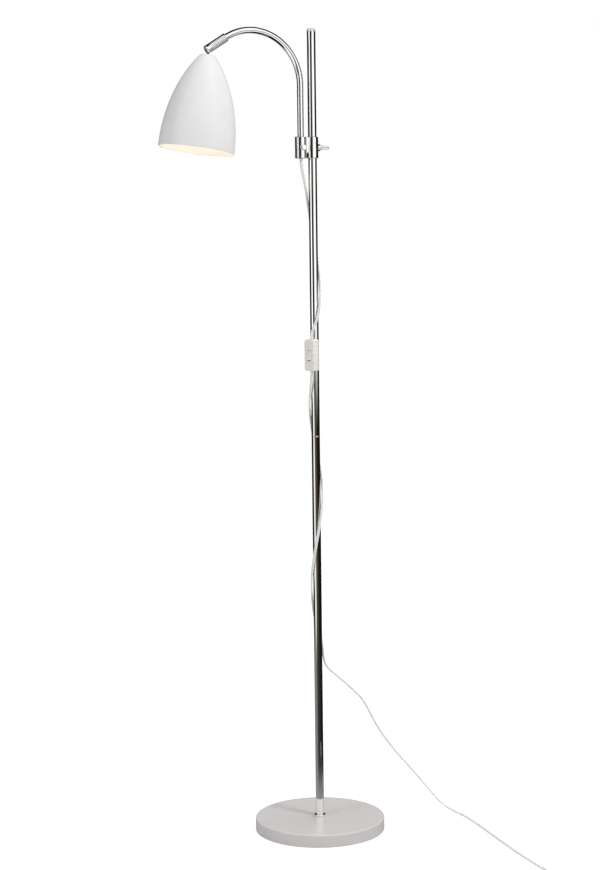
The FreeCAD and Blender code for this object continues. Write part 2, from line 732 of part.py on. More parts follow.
def bulb_profile(radius, neck_radius, crown_z, neck_z, start_z):
    """Half outline of a bulb: straight neck, flowing shoulder, round crown."""
    centre_z = crown_z + radius
    reach = neck_z - centre_z
    swing = math.radians(32)
    flank = V(radius * math.cos(swing), 0, centre_z + radius * math.sin(swing))
    crown_arc = Part.Arc(V(0, 0, crown_z), V(radius * math.cos(math.radians(-29)), 0,
                         centre_z + radius * math.sin(math.radians(-29))), flank).toShape()
    shoulder = Part.BezierCurve()
    pull = (reach - radius * math.sin(swing)) * 0.42
    shoulder.setPoles([
        flank, flank + V(-math.sin(swing), 0, math.cos(swing)) * pull,
        V(neck_radius, 0, neck_z - pull), V(neck_radius, 0, neck_z)])
    neck = Part.LineSegment(V(neck_radius, 0, neck_z), V(neck_radius, 0, start_z)).toShape()
    return [crown_arc, shoulder.toShape(), neck]


bulb_crown = bulb_top - bulb_len
glass_start = bulb_cap_low + bulb_cap_h / 4
glass_neck_r = min(bulb_neck_d / 2, inner_cap_r) - fit_gap
outside = bulb_profile(bulb_d / 2, glass_neck_r, bulb_crown, bulb_cap_low - 1, glass_start)
inside = bulb_profile(bulb_d / 2 - glass_t, glass_neck_r - glass_t, bulb_crown + glass_t,
                      bulb_cap_low - 1, glass_start)
glass_rim = Part.LineSegment(V(glass_neck_r, 0, glass_start),
                             V(glass_neck_r - glass_t, 0, glass_start)).toShape()
glass_foot = Part.LineSegment(V(0, 0, bulb_crown), V(0, 0, bulb_crown + glass_t)).toShape()
glass_wire = Part.Wire(Part.__sortEdges__(outside + [glass_rim] + inside + [glass_foot]))
nodes["bulb_glass"] = on_shade(Part.Face(glass_wire).revolve(V(0, 0, 0), Z_AXIS, 360))

# ------------------------------------------------------------------------ switch
facing = math.radians(switch_facing)
switch_dir = V(math.cos(facing), math.sin(facing), 0)
switch_mid_z = switch_top_z - switch_len / 2
switch_low_z = switch_top_z - switch_len
rocker_z = -rocker_drop
pin_x = switch_depth / 2 - rocker_pin_depth


def on_switch(shape):
    """Move a shape drawn with its front towards +X to the switch's place."""
    return placed(shape, V(switch_x, switch_y, switch_mid_z), Z_AXIS, switch_dir)


def block(size, low):
    """Box from its size and lowest corner."""
    return Part.makeBox(size[0], size[1], size[2], V(*low))


half_depth = switch_depth / 2
housing = block((switch_depth, switch_w, switch_len), (-half_depth, -switch_w / 2, -switch_len / 2))
housing = housing.makeFillet(switch_edge_r, housing.Edges)
inner_size = (switch_depth - 2 * switch_wall, switch_w - 2 * switch_wall,
              switch_len - 2 * switch_wall)
hollow = block(inner_size, (-inner_size[0] / 2, -inner_size[1] / 2, -inner_size[2] / 2))
cord_way = rod(cord_d + 2 * lead_gap, -switch_len / 2, switch_len / 2)
front_space = block((switch_depth, switch_w, switch_len),
                    (switch_split, -switch_w / 2, -switch_len / 2))
screw_spots = [(switch_w / 2 - 5.0, switch_len / 2 - 9.5), (5.0 - switch_w / 2,
                                                           9.5 - switch_len / 2)]
boss_d = switch_screw_head_d + 1.6


def across(diameter, start, end, y, z):
    """Cylinder along X, from start to end."""
    return Part.makeCylinder(diameter / 2, end - start, V(start, y, z), X_AXIS)


posts = [across(boss_d, -half_depth + switch_wall / 2, half_depth - switch_wall / 2, y, z)
         for y, z in screw_spots]
ear_y = rocker_w / 2 + rocker_gap + 0.4
ears = [block((inner_size[0] / 2 - pin_x + rocker_pin_d * 1.2 + 0.2, 2.0, rocker_pin_d * 3),
              (pin_x - rocker_pin_d * 1.2, side, rocker_z - rocker_pin_d * 1.5))
        for side in (ear_y, -ear_y - 2.0)]
shells = housing.cut(hollow).fuse(posts)
rocker_window = block((switch_depth, rocker_w + 2 * rocker_gap, rocker_len + 2 * rocker_end_gap),
                      (0, -rocker_w / 2 - rocker_gap, rocker_z - rocker_len / 2 - rocker_end_gap))
pin_hole = Part.makeCylinder(rocker_pin_d / 2 + fit_gap, 2 * ear_y + 4,
                             V(pin_x, -ear_y - 2, rocker_z), Y_AXIS)
pilot_holes = [across(switch_screw_d + 2 * fit_gap, -half_depth,
                      -half_depth + switch_screw_len + 1, y, z) for y, z in screw_spots]
head_holes = [across(switch_screw_head_d + 2 * fit_gap, -half_depth, -half_depth + 2, y, z)
              for y, z in screw_spots]
shells = shells.cut([cord_way] + pilot_holes + head_holes)
switch_front = shells.common(front_space).fuse(ears).cut([rocker_window, pin_hole])
nodes["switch_front"] = on_switch(switch_front.removeSplitter())
nodes["switch_back"] = on_switch(shells.cut(front_space).removeSplitter())

switch_screws = [across(switch_screw_head_d, -half_depth + 0.4, -half_depth + 2, y, z).fuse(
    across(switch_screw_d, -half_depth + 2, -half_depth + switch_screw_len, y, z))
    for y, z in screw_spots]
nodes["switch_screws"] = on_switch(Part.makeCompound(switch_screws))

strip_back = -inner_size[0] / 2
strips = [block((contact_strip_t, contact_strip_w, contact_strip_len),
                (strip_back, side * contact_strip_y - contact_strip_w / 2,
                 -contact_strip_len / 2 + rocker_z)) for side in (1, -1)]
nodes["switch_contacts"] = on_switch(Part.makeCompound(strips))

rocker_half = rocker_len / 2
rocker_outline = [
    V(half_depth - 0.2, 0, 0), V(half_depth + rocker_rise, 0, rocker_half),
    V(pin_x + 1.2, 0, rocker_half), V(pin_x - 1.6, 0, rocker_half * 0.35),
    V(pin_x - 1.6, 0, -rocker_half * 0.35), V(pin_x + 1.2, 0, -rocker_half),
    V(half_depth + rocker_rise, 0, -rocker_half), V(half_depth - 0.2, 0, 0)]
rocker = Part.Face(Part.makePolygon(rocker_outline)).extrude(V(0, rocker_w, 0))
rocker.translate(V(0, -rocker_w / 2, rocker_z))
rocker = rocker.cut(Part.makeCylinder(rocker_pin_d / 2 + fit_gap, rocker_w,
                                      V(pin_x, -rocker_w / 2, rocker_z), Y_AXIS))
rocker.rotate(V(pin_x, 0, rocker_z), Y_AXIS, -rocker_lean)
nodes["rocker"] = on_switch(rocker)
nodes["rocker_pin"] = on_switch(Part.makeCylinder(rocker_pin_d / 2, 2 * ear_y + 4,
                                V(pin_x, -ear_y - 2, rocker_z), Y_AXIS))

# -------------------------------------------------------------------------- cord
switch_in = (switch_x, switch_y, switch_top_z - cord_entry)
switch_out = (switch_x, switch_y, switch_low_z + cord_entry)
switch_exit = (switch_x, switch_y, switch_low_z - 8.0)
above_switch = (switch_x, switch_y, switch_top_z + 12.0)
below_switch = (-11.4, -5.0, 860.0)
nodes["cord_upper"] = cord_tube("cord_upper", upper_route)
middle_route = [upper_route[-1]] + [on_pole(angle, height) for angle, height in middle_wound]
nodes["cord_middle"] = cord_tube("cord_middle", middle_route + [above_switch, switch_in])
lower_route = [switch_out, switch_exit, below_switch]
lower_route += [on_pole(angle, height) for angle, height in lower_wound]
lower_route += lower_free + [(coil_start_x, coil_start_y, coil_low_z)]
nodes["cord_lower"] = cord_tube("cord_lower", lower_route)

# coil: clockwise from its right side, inwards on the floor, up, and out again
coil_spread = coil_pitch * coil_layer_turns / 2
coil_x = coil_start_x - coil_mid_r - coil_spread
coil_y = coil_start_y - coil_end_len
climb_turns = 0.5
coil_turns = 2 * coil_layer_turns + climb_turns


def coil_point(turns):
    """Point of the coil after a number of turns from its start."""
    climbing = min(max((turns - coil_layer_turns) / climb_turns, 0), 1)
    height = coil_low_z + coil_pitch * climbing ** 2 * (3 - 2 * climbing)
    inmost = coil_mid_r - coil_spread
    if turns <= coil_layer_turns:
        radius = inmost + coil_pitch * (coil_layer_turns - turns)
    elif turns < coil_layer_turns + climb_turns:
        radius = inmost - coil_pitch * climb_turns / 2 * math.sin(math.pi * climbing)
    else:
        radius = inmost + coil_pitch * (turns - coil_layer_turns - climb_turns)
    angle = -2 * math.pi * turns
    return V(coil_x + radius * math.cos(angle), coil_y + radius * math.sin(angle), height)


def coil_direction(turns):
    """Direction of the coil's centre line, level and square at its two ends."""
    if turns <= 0:
        return -Y_AXIS
    if turns >= coil_turns:
        return V(Y_AXIS)
    step = 0.002
    return (coil_point(turns + step) - coil_point(turns - step)).normalize()


quarter = 0.25
stop_count = int(round(coil_turns / quarter))
stops = [coil_turns * i / stop_count for i in range(stop_count + 1)]
coil_start = V(coil_start_x, coil_start_y, coil_low_z)
coil_edges = [Part.LineSegment(coil_start, coil_point(0)).toShape()]
for here, there in zip(stops, stops[1:]):
    coil_edges += biarc(coil_point(here), coil_direction(here),
                        coil_point(there), coil_direction(there))
coil_out = coil_point(coil_turns)
coil_end = coil_out + Y_AXIS * coil_end_len
coil_edges.append(Part.LineSegment(coil_out, coil_end).toShape())
coil_wire = Part.Wire(coil_edges)
nodes["cord_coil"] = swept(coil_wire, cord_d, coil_start, -Y_AXIS)


def least_self_gap(edges, diameter):
    """Least gap between parts of a wound tube that aren't neighbours along it."""
    points = []
    travelled = 0.0
    for edge in edges:
        count = max(int(edge.Length / 1.5), 1)
        for i in range(count):
            place = edge.valueAt(edge.FirstParameter + (
                edge.LastParameter - edge.FirstParameter) * i / count)
            points.append((travelled + edge.Length * i / count, place))
        travelled += edge.Length
    least = 1e9
    for i, (distance, place) in enumerate(points):
        for further, other in points[i + 1:]:
            if further - distance > 6 * diameter:
                least = min(least, (place - other).Length)
    return least - diameter


print("coil: length %.0f, volume ratio %.4f, least gap to itself %.2f" % (
    coil_wire.Length,
    nodes["cord_coil"].Volume / (math.pi * cord_d ** 2 / 4 * coil_wire.Length),
    least_self_gap(coil_edges, cord_d)))

# tie round the coil's bundle, on the side away from the lamp
inmost_r = coil_mid_r - coil_spread - coil_pitch * climb_turns / 2 - cord_d / 2
bundle_in = math.sqrt(inmost_r ** 2 - (tie_w / 2) ** 2) - tie_gap
bundle_out = coil_mid_r + coil_spread + cord_d / 2 + tie_gap
bundle_low = coil_low_z - cord_d / 2 - tie_gap
bundle_high = coil_low_z + coil_pitch + cord_d / 2 + tie_gap
tie_inside = block((tie_w, bundle_out - bundle_in, bundle_high - bundle_low),
                   (-tie_w / 2, bundle_in, bundle_low))
tie_outside = block((tie_w, bundle_out - bundle_in + 2 * tie_t,
                     bundle_high - bundle_low + 2 * tie_t),
                    (-tie_w / 2, bundle_in - tie_t, bundle_low - tie_t))
nodes["cord_tie"] = placed(tie_outside.cut(tie_inside), V(coil_x, coil_y, 0), Z_AXIS, -X_AXIS)

# -------------------------------------------------------------------------- plug
def on_plug(shape):
    """Move a shape drawn along +Z from the cord's end to the plug's place."""
    return placed(shape, coil_end, Y_AXIS, X_AXIS)


relief = Part.makeCone(relief_tip_d / 2, relief_root_d / 2, relief_len)
grip = block((plug_w, plug_t, plug_len), (-plug_w / 2, -plug_t / 2, relief_len - 1))
grip = grip.makeFillet(plug_edge_r, grip.Edges)
plug_face = relief_len - 1 + plug_len
blades = []
for side in (1, -1):
    blade = block((blade_t, blade_w, blade_len + blade_root),
                  (side * blade_spacing / 2 - blade_t / 2, -blade_w / 2, plug_face - blade_root))
    hole = Part.makeCylinder(blade_hole_d / 2, plug_w, V(-plug_w / 2, 0, plug_face
                             + blade_len * 0.75), X_AXIS)
    tips = [edge for edge in blade.Edges
            if abs(edge.CenterOfMass.z - (plug_face + blade_len)) < 0.01
            and edge.Length < 2 * blade_t]
    blades.append(blade.makeChamfer(blade_w / 5, tips).cut(hole))
nodes["plug_body"] = on_plug(relief.fuse(grip).cut(blades).removeSplitter())
nodes["plug_blades"] = on_plug(Part.makeCompound(blades))

# ------------------------------------------------------------------------ export
os.makedirs("parts", exist_ok=True)
for name, shape in nodes.items():
    if not shape.isValid():
        print("not valid:", name)
    for solid in shape.Solids:
        if solid.Volume <= 0:
            print("inside out:", name)
    shape.exportStep("parts/%s.step" % name)
print("%d nodes, %d solids" % (len(nodes), sum(len(s.Solids) for s in nodes.values())))
print("ball centre", ball_centre, "neck direction", neck_dir, "shade up", shade_up)
print("rest bend %.3f degrees" % math.degrees(neck_dir.getAngle(-shade_up)))
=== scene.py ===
"""Reading floor lamp with a rigid bent neck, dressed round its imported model.

Sizes are written in millimetres. The camera, the studio, the cords' routes and the depths
of surface relief are in metres, as every stored mesh is.
"""
import math
from functools import partial

import bmesh
import bpy
from mathutils import Matrix, Vector


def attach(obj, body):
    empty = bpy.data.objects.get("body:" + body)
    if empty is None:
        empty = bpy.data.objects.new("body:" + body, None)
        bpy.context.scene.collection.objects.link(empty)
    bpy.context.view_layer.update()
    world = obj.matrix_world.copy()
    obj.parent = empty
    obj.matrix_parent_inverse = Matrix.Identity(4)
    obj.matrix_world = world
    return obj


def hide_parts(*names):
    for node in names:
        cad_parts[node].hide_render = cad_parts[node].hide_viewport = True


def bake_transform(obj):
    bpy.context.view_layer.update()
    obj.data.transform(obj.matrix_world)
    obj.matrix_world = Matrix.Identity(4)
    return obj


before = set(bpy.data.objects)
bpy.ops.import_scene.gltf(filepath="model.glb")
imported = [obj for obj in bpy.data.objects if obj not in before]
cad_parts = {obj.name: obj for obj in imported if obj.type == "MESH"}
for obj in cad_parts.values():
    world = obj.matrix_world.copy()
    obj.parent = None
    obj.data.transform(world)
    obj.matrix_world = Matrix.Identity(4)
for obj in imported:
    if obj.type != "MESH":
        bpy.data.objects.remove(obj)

MM = 0.001              # metres in a millimetre
scene = bpy.context.scene
scene.view_settings.view_transform = "Standard"
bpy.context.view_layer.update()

# ------------------------------------------------------------------------ camera
# A long lens at three quarters of the lamp's height, at the lamp's front left, with the
# slight tilt that the picture has.
camera_place = (-1.5987, -3.2779, 1.1548)
yaw, dip, tilt = math.radians(25.53), math.radians(6.03), math.radians(-0.71)
camera = bpy.data.objects.new("camera", bpy.data.cameras.new("camera"))
scene.collection.objects.link(camera)
scene.camera = camera
camera.data.sensor_width = 36.0
camera.data.lens = 79.66
camera.data.clip_start = 0.05
camera.data.clip_end = 60.0
ahead = Vector((math.sin(yaw) * math.cos(dip), math.cos(yaw) * math.cos(dip), -math.sin(dip)))
level = Vector((math.cos(yaw), -math.sin(yaw), 0))
upward = level.cross(ahead)
camera_x = level * math.cos(tilt) + upward * math.sin(tilt)
camera_y = upward * math.cos(tilt) - level * math.sin(tilt)
camera.matrix_world = Matrix.Translation(camera_place) @ Matrix(
    (camera_x, camera_y, -ahead)).transposed().to_4x4()

# ------------------------------------------------------------------------ studio
# A white sweep in soft even light, with a lamp on each side of the camera and a large one
# behind and above. Only polished metal sees the dark room with its bright stripes.
front = Vector((-math.sin(yaw), -math.cos(yaw), 0))     # from the lamp to the camera


def put(tree, kind, inputs=None, **settings):
    """One node with its settings; an input is a value, a node or a node's output."""
    node = tree.nodes.new(kind)
    for key, value in settings.items():
        setattr(node, key, value)
    for key, value in (inputs or {}).items():
        if isinstance(value, bpy.types.Node):
            value = value.outputs[0]
        if isinstance(value, bpy.types.NodeSocket):
            tree.links.new(value, node.inputs[key])
        else:
            node.inputs[key].default_value = value
    return node


def sum_of(tree, operation, first, second=0.0):
    """Output of one math node."""
    return put(tree, "ShaderNodeMath", {0: first, 1: second}, operation=operation).outputs[0]


def ease(tree, value, low, high, to_low=0.0, to_high=1.0):
    """Output that goes smoothly from one value to another as an input does."""
    return put(tree, "ShaderNodeMapRange",
               {"Value": value, "From Min": low, "From Max": high, "To Min": to_low,
                "To Max": to_high}, interpolation_type="SMOOTHSTEP").outputs["Result"]


def opaque(colour):
    """Colour with its alpha; one number is a grey."""
    return (colour, colour, colour, 1) if isinstance(colour, float) else (*colour, 1)


def blended(tree, share, first, second):
    """Output of one colour mix."""
    first, second = (value if isinstance(value, bpy.types.NodeSocket) else opaque(value)
                     for value in (first, second))
    return put(tree, "ShaderNodeMix", {0: share, 6: first, 7: second},
               data_type="RGBA").outputs[2]


def stripes(tree, turn, stops):
    """Colours round the studio, by degrees to the right of the camera's direction."""
    share = put(tree, "ShaderNodeMapRange",
                {"Value": turn, "From Min": -math.pi, "From Max": math.pi}).outputs["Result"]
    ramp = put(tree, "ShaderNodeValToRGB", {0: share})
    band = ramp.color_ramp
    while len(band.elements) > 1:
        band.elements.remove(band.elements[-1])
    for i, (degrees, colour) in enumerate(stops):
        place = (degrees + 180) / 360
        stop = band.elements[0] if i == 0 else band.elements.new(place)
        stop.position = place
        stop.color = opaque(colour)
    return ramp.outputs[0]


def straight_rays(tree):
    """Kinds of light ray, and the share that comes straight or through glass to the camera."""
    rays = put(tree, "ShaderNodeLightPath").outputs
    return rays, sum_of(tree, "MAXIMUM", rays["Is Camera Ray"], rays["Is Transmission Ray"])


world = bpy.data.worlds.new("studio")
scene.world = world
world.use_nodes = True
sky = world.node_tree
sky.nodes.clear()
look = put(sky, "ShaderNodeTexCoord").outputs["Generated"]
to_front, to_right = (put(sky, "ShaderNodeVectorMath", {0: look, 1: way},
                          operation="DOT_PRODUCT").outputs["Value"] for way in (front, level))
turn = sum_of(sky, "ARCTAN2", to_right, to_front)
height = sum_of(sky, "ARCSINE", put(sky, "ShaderNodeSeparateXYZ", {0: look}).outputs["Z"])
upper_room = stripes(sky, turn, [
    (-180, 0.06), (-130, 0.05), (-112, (0.0, 0.0, 0.002)), (-76, (0.0, 0.0, 0.002)),
    (-71, 1.35), (-43, 1.35), (-38, 0.0), (-14, 0.0), (-8, (0.10, 0.095, 0.07)),
    (8, (0.10, 0.095, 0.07)), (17, 1.15), (70, 1.15), (76, 0.0), (180, (0.0, 0.002, 0.004))])
lower_room = stripes(sky, turn, [
    (-180, 0.02), (-74, 0.008), (-66, (1.0, 1.0, 0.97)), (-36, (1.0, 1.0, 0.97)),
    (-27, (0.09, 0.072, 0.045)), (16, (0.075, 0.060, 0.038)), (34, (0.016, 0.013, 0.010)),
    (90, (0.008, 0.007, 0.006)), (120, 0.0), (180, 0.0)])
foot_room = stripes(sky, turn, [
    (-180, 0.30), (-70, (0.22, 0.22, 0.215)), (-38, (0.17, 0.17, 0.165)),
    (-28, (0.05, 0.045, 0.035)), (20, (0.035, 0.030, 0.022)), (60, (0.016, 0.014, 0.012)),
    (90, 0.004), (180, 0.0)])


def from_height(low, high):
    """Share that grows from one height to another, in degrees over the horizon."""
    return ease(sky, height, math.radians(low), math.radians(high))


before = ease(sky, sum_of(sky, "ABSOLUTE", turn), math.radians(84), math.radians(72))
raised = sum_of(sky, "MULTIPLY", before, from_height(9, 15))
swept = sum_of(sky, "MULTIPLY", before, from_height(-21, -25))
room = lower_room
for share, colour in (
        (from_height(-6, -2), upper_room), (from_height(-11, -13), foot_room), (raised, 1.15),
        (from_height(-15.6, -17.0), (0.30, 0.30, 0.29)), (swept, (1.1, 1.1, 1.08)),
        (from_height(60, 67), 0.0), (from_height(-48, -54), (0.0, 0.0, 0.002))):
    room = blended(sky, share, room, colour)
rays, straight = straight_rays(sky)
soft_light, seen_in_metal, backdrop = (
    put(sky, "ShaderNodeBackground", {"Color": colour, "Strength": strength})
    for colour, strength in ((opaque(1.0), 0.50), (room, 1.0), (opaque(1.0), 1.0)))
for_metal = put(sky, "ShaderNodeMixShader", {0: rays["Is Glossy Ray"], 1: soft_light,
                                             2: seen_in_metal})
for_eye = put(sky, "ShaderNodeMixShader", {0: straight, 1: for_metal, 2: backdrop})
put(sky, "ShaderNodeOutputWorld", {"Surface": for_eye})


def soft_box(name, degrees, distance, centre_z, width, tall, power):
    """Area lamp that faces the lamp's middle; metal shows the room's stripe in its place."""
    lamp = bpy.data.lights.new(name, "AREA")
    lamp.shape = "RECTANGLE"
    lamp.size, lamp.size_y, lamp.energy = width, tall, power
    box = bpy.data.objects.new(name, lamp)
    scene.collection.objects.link(box)
    turned_by = math.radians(degrees)
    place = (front * math.cos(turned_by) + level * math.sin(turned_by)) * distance
    place.z = centre_z
    aim = lamp_middle - place
    box.matrix_world = (Matrix.Translation(place)
                        @ aim.to_track_quat("-Z", "Y").to_matrix().to_4x4())
    box.visible_glossy = False
    box.visible_camera = False


lamp_middle = Vector((0, 0, 0.85))
soft_box("right_box", 52, 2.5, 2.9, 0.7, 1.2, 42)
soft_box("left_box", -50, 2.5, 1.9, 0.6, 1.0, 13)
soft_box("top_box", 140, 1.4, 3.8, 2.6, 2.6, 60)

floor_mesh = bpy.data.meshes.new("floor")
floor_mesh.from_pydata([(-30, -30, 0), (30, -30, 0), (30, 30, 0), (-30, 30, 0)], [],
                       [(0, 1, 2, 3)])
floor = bpy.data.objects.new("floor", floor_mesh)
scene.collection.objects.link(floor)
floor_paint = bpy.data.materials.new("white_sweep")
floor_paint.use_nodes = True
tree = floor_paint.node_tree
tree.nodes.clear()
matt = put(tree, "ShaderNodeBsdfDiffuse", {"Color": opaque(0.75)})
faint = put(tree, "ShaderNodeBsdfDiffuse", {"Color": opaque(0.30)})
glow = put(tree, "ShaderNodeEmission", {"Color": opaque(1.0), "Strength": 0.89})
lit = put(tree, "ShaderNodeAddShader", {0: faint, 1: glow})
sweep = put(tree, "ShaderNodeMixShader", {0: straight_rays(tree)[1], 1: matt, 2: lit})
put(tree, "ShaderNodeOutputMaterial", {"Surface": sweep})
floor_mesh.materials.append(floor_paint)
floor.visible_glossy = False

# -------------------------------------------------------------------------- base
# A pressed steel disc over a cast iron weight on a felt pad. Its white paint is coloured a
# darker warm grey, as painted shade. The cover is turned down at its rim and closed
# underneath by the weight.


def eased(corners, steps=5):
    """Outline with rounded corners; a corner's third number is its rounding radius."""
    points = []
    for i, corner in enumerate(corners):
        here = Vector(corner[:2])
        if len(corner) < 3:
            points.append(here)
            continue
        back = (Vector(corners[i - 1][:2]) - here).normalized()
        on = (Vector(corners[(i + 1) % len(corners)][:2]) - here).normalized()
        half = back.angle(on) / 2
        centre = here + (back + on).normalized() * (corner[2] / math.sin(half))
        start = here + back * (corner[2] / math.tan(half)) - centre
        end = here + on * (corner[2] / math.tan(half)) - centre
        points += [centre + start.slerp(end, k / steps).normalized() * corner[2]
                   for k in range(steps + 1)]
    return points


def braced(points):
    """Outline with a point close to each end of its long runs, which keeps shading crisp."""
    full = []
    for here, there in zip(points, points[1:] + points[:1]):
        full.append(here)
        run = there - here
        if run.length > 1.6 and (here.x > 1e-6 or there.x > 1e-6):
            full += [here + run.normalized() * 0.4, there - run.normalized() * 0.4]
    return full


def turned(name, corners, around=96, steps=5):
    """Mesh turned about Z from a closed outline of (radius, height, rounding) corners."""
    shape = bmesh.new()
    rings = []
    for radius, height in braced(eased(corners, steps)):
        count = around if radius > 1e-4 else 1
        rings.append([shape.verts.new((radius * math.cos(2 * math.pi * k / around),
                                       radius * math.sin(2 * math.pi * k / around), height))
                      for k in range(count)])
    for low, high in zip(rings, rings[1:] + rings[:1]):
        for k in range(around):
            face = dict.fromkeys([low[k % len(low)], low[(k + 1) % len(low)],
                                  high[(k + 1) % len(high)], high[k % len(high)]])
            if len(face) > 2:
                shape.faces.new(list(face))
    return closed(name, shape)


def closed(name, shape):
    """Finished mesh of a closed bmesh in millimetres, with its faces outwards."""
    bmesh.ops.remove_doubles(shape, verts=shape.verts, dist=1e-5)
    bmesh.ops.recalc_face_normals(shape, faces=shape.faces)
    mesh = bpy.data.meshes.new(name)
    shape.to_mesh(mesh)
    shape.free()
    mesh.transform(Matrix.Scale(MM, 4))
    return mesh


def fitted(mesh, material, body, slot, *nodes, sharp=32):
    """The finished piece of a mesh: smooth, coloured, on its body, in its nodes' place."""
    mesh.materials.clear()
    mesh.materials.append(material)
    mesh.shade_smooth()
    mesh.set_sharp_from_angle(angle=math.radians(sharp))
    piece = bpy.data.objects.new(mesh.name, mesh)
    scene.collection.objects.link(piece)
    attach(piece, body)
    if nodes:
        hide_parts(*nodes)
    return piece


def keep(material, *nodes):
    """CAD nodes whose own shape is right, in their material."""
    for name in nodes:
        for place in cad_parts[name].material_slots:
            place.material = material


def effect(name, given, **numbers):
    """Empty shader group with a place and numbers as inputs and one value as its output."""
    tree = bpy.data.node_groups.new(name, "ShaderNodeTree")
    tree.interface.new_socket(name="Vector", in_out="INPUT", socket_type="NodeSocketVector")
    for key, value in numbers.items():
        tree.interface.new_socket(name=key, in_out="INPUT",
                                  socket_type="NodeSocketFloat").default_value = value
    tree.interface.new_socket(name=given, in_out="OUTPUT", socket_type="NodeSocketFloat")
    return tree, put(tree, "NodeGroupInput").outputs, put(tree, "NodeGroupOutput").inputs


def noise(tree, spot, scale, detail, roughness=0.5):
    """Output of one cloudy noise."""
    return put(tree, "ShaderNodeTexNoise", {"Vector": spot, "Scale": scale, "Detail": detail,
                                            "Roughness": roughness}).outputs[0]


# small even waves of a sprayed or moulded skin, and the grain of cast or fibrous ones
grain, inlet, outlet = effect("skin_grain", "Height", Scale=900.0, Detail=2.0)
waves = noise(grain, inlet["Vector"], inlet["Scale"], inlet["Detail"], 0.55)
grain.links.new(waves, outlet["Height"])

# soft smudges and thin rubbed streaks that hands and cloths leave
marks, inlet, outlet = effect("handling_marks", "Mask", Scale=18.0, Streaks=220.0)
smudge = noise(marks, inlet["Vector"], inlet["Scale"], 4.0, 0.62)
long_way = put(marks, "ShaderNodeMapping", {"Vector": inlet["Vector"], "Scale": (1, 1, 0.06)})
streak = noise(marks, long_way.outputs[0], inlet["Streaks"], 3.0)
both = sum_of(marks, "MULTIPLY", ease(marks, smudge, 0.42, 0.72),
              ease(marks, streak, 0.30, 0.75, 0.35, 1.0))
marks.links.new(both, outlet["Mask"])

# fine dust that settles on what faces up
dust, inlet, outlet = effect("settled_dust", "Mask", Scale=60.0)
cloud = noise(dust, inlet["Vector"], inlet["Scale"], 6.0, 0.7)
facing = put(dust, "ShaderNodeSeparateXYZ",
             {0: put(dust, "ShaderNodeNewGeometry").outputs["Normal"]}).outputs["Z"]
lying = sum_of(dust, "MULTIPLY", ease(dust, facing, 0.2, 0.95), ease(dust, cloud, 0.35, 0.8))
dust.links.new(lying, outlet["Mask"])


def material_of(name):
    """New material: itself, its tree, its shader and the object coordinates."""
    material = bpy.data.materials.new(name)
    material.use_nodes = True
    tree = material.node_tree
    return (material, tree, tree.nodes["Principled BSDF"],
            put(tree, "ShaderNodeTexCoord").outputs["Object"])


def use(tree, group, **inputs):
    """Output of a shader group placed with its own values."""
    return put(tree, "ShaderNodeGroup", inputs, node_tree=group).outputs[0]


def rough_between(tree, shader, mask, low, high):
    """Roughness that follows a mask between two values."""
    tree.links.new(ease(tree, mask, 0, 1, low, high), shader.inputs["Roughness"])


def tinted(tree, shader, mask, first, second, key="Base Color"):
    """Colour that follows a mask between two tones."""
    tree.links.new(blended(tree, mask, first, second), shader.inputs[key])


def relief(tree, shader, height, depth):
    """Fine surface height, in metres, through a bump node."""
    bump = put(tree, "ShaderNodeBump", {"Height": height, "Distance": depth, "Strength": 1.0})
    tree.links.new(bump.outputs[0], shader.inputs["Normal"])


def preset(shader, **values):
    """Fixed values of a shader's inputs."""
    for key, value in values.items():
        shader.inputs[key.replace("_", " ")].default_value = value


def sprayed_paint(name, colour, dusty, low, high, depth):
    """Stove-sprayed paint: fine orange peel, faint cloudiness, a breath of dust on top."""
    material, tree, shader, spot = material_of(name)
    peel = use(tree, grain, Vector=spot, Scale=1500.0, Detail=1.0)
    clouds = use(tree, grain, Vector=spot, Scale=26.0, Detail=3.0)
    handled = use(tree, marks, Vector=spot, Scale=30.0, Streaks=300.0)
    settled = use(tree, dust, Vector=spot, Scale=140.0)
    tone = blended(tree, ease(tree, clouds, 0.3, 0.7), colour, [0.965 * c for c in colour])
    tinted(tree, shader, sum_of(tree, "MULTIPLY", settled, 0.22), tone, dusty)
    rough_between(tree, shader, handled, low, high)
    relief(tree, shader, peel, depth)
    preset(shader, IOR=1.48)
    return material


def grained_metal(name, scale, detail, first, second, low, high, depth=0.0, metallic=1.0):
    """Plain metal whose tone and sheen follow its grain."""
    material, tree, shader, spot = material_of(name)
    lustre = use(tree, grain, Vector=spot, Scale=scale, Detail=detail)
    tinted(tree, shader, lustre, first, second)
    preset(shader, Metallic=metallic)
    rough_between(tree, shader, lustre, low, high)
    if depth:
        relief(tree, shader, lustre, depth)
    return material


# The cover's colour is a grey darker than its white paint: painted shade.
cover_paint = sprayed_paint("cover_paint", (0.662, 0.639, 0.636), (0.72, 0.69, 0.66),
                            0.34, 0.46, 0.00001)
cover = turned("base_cover_disc", [
    (5.3, 23.5), (5.3, 25.0), (125.0, 25.0, 3.0), (125.0, 0.8, 0.5), (123.5, 0.8, 0.5),
    (123.5, 23.5, 1.5)], around=256, steps=8)
fitted(cover, cover_paint, "stand", "cover_paint", "base_cover")

iron = grained_metal("cast_iron", 420.0, 5.0, (0.020, 0.020, 0.021), (0.075, 0.070, 0.065),
                     0.55, 0.85, 0.0004, 0.6)
keep(iron, "base_weight")

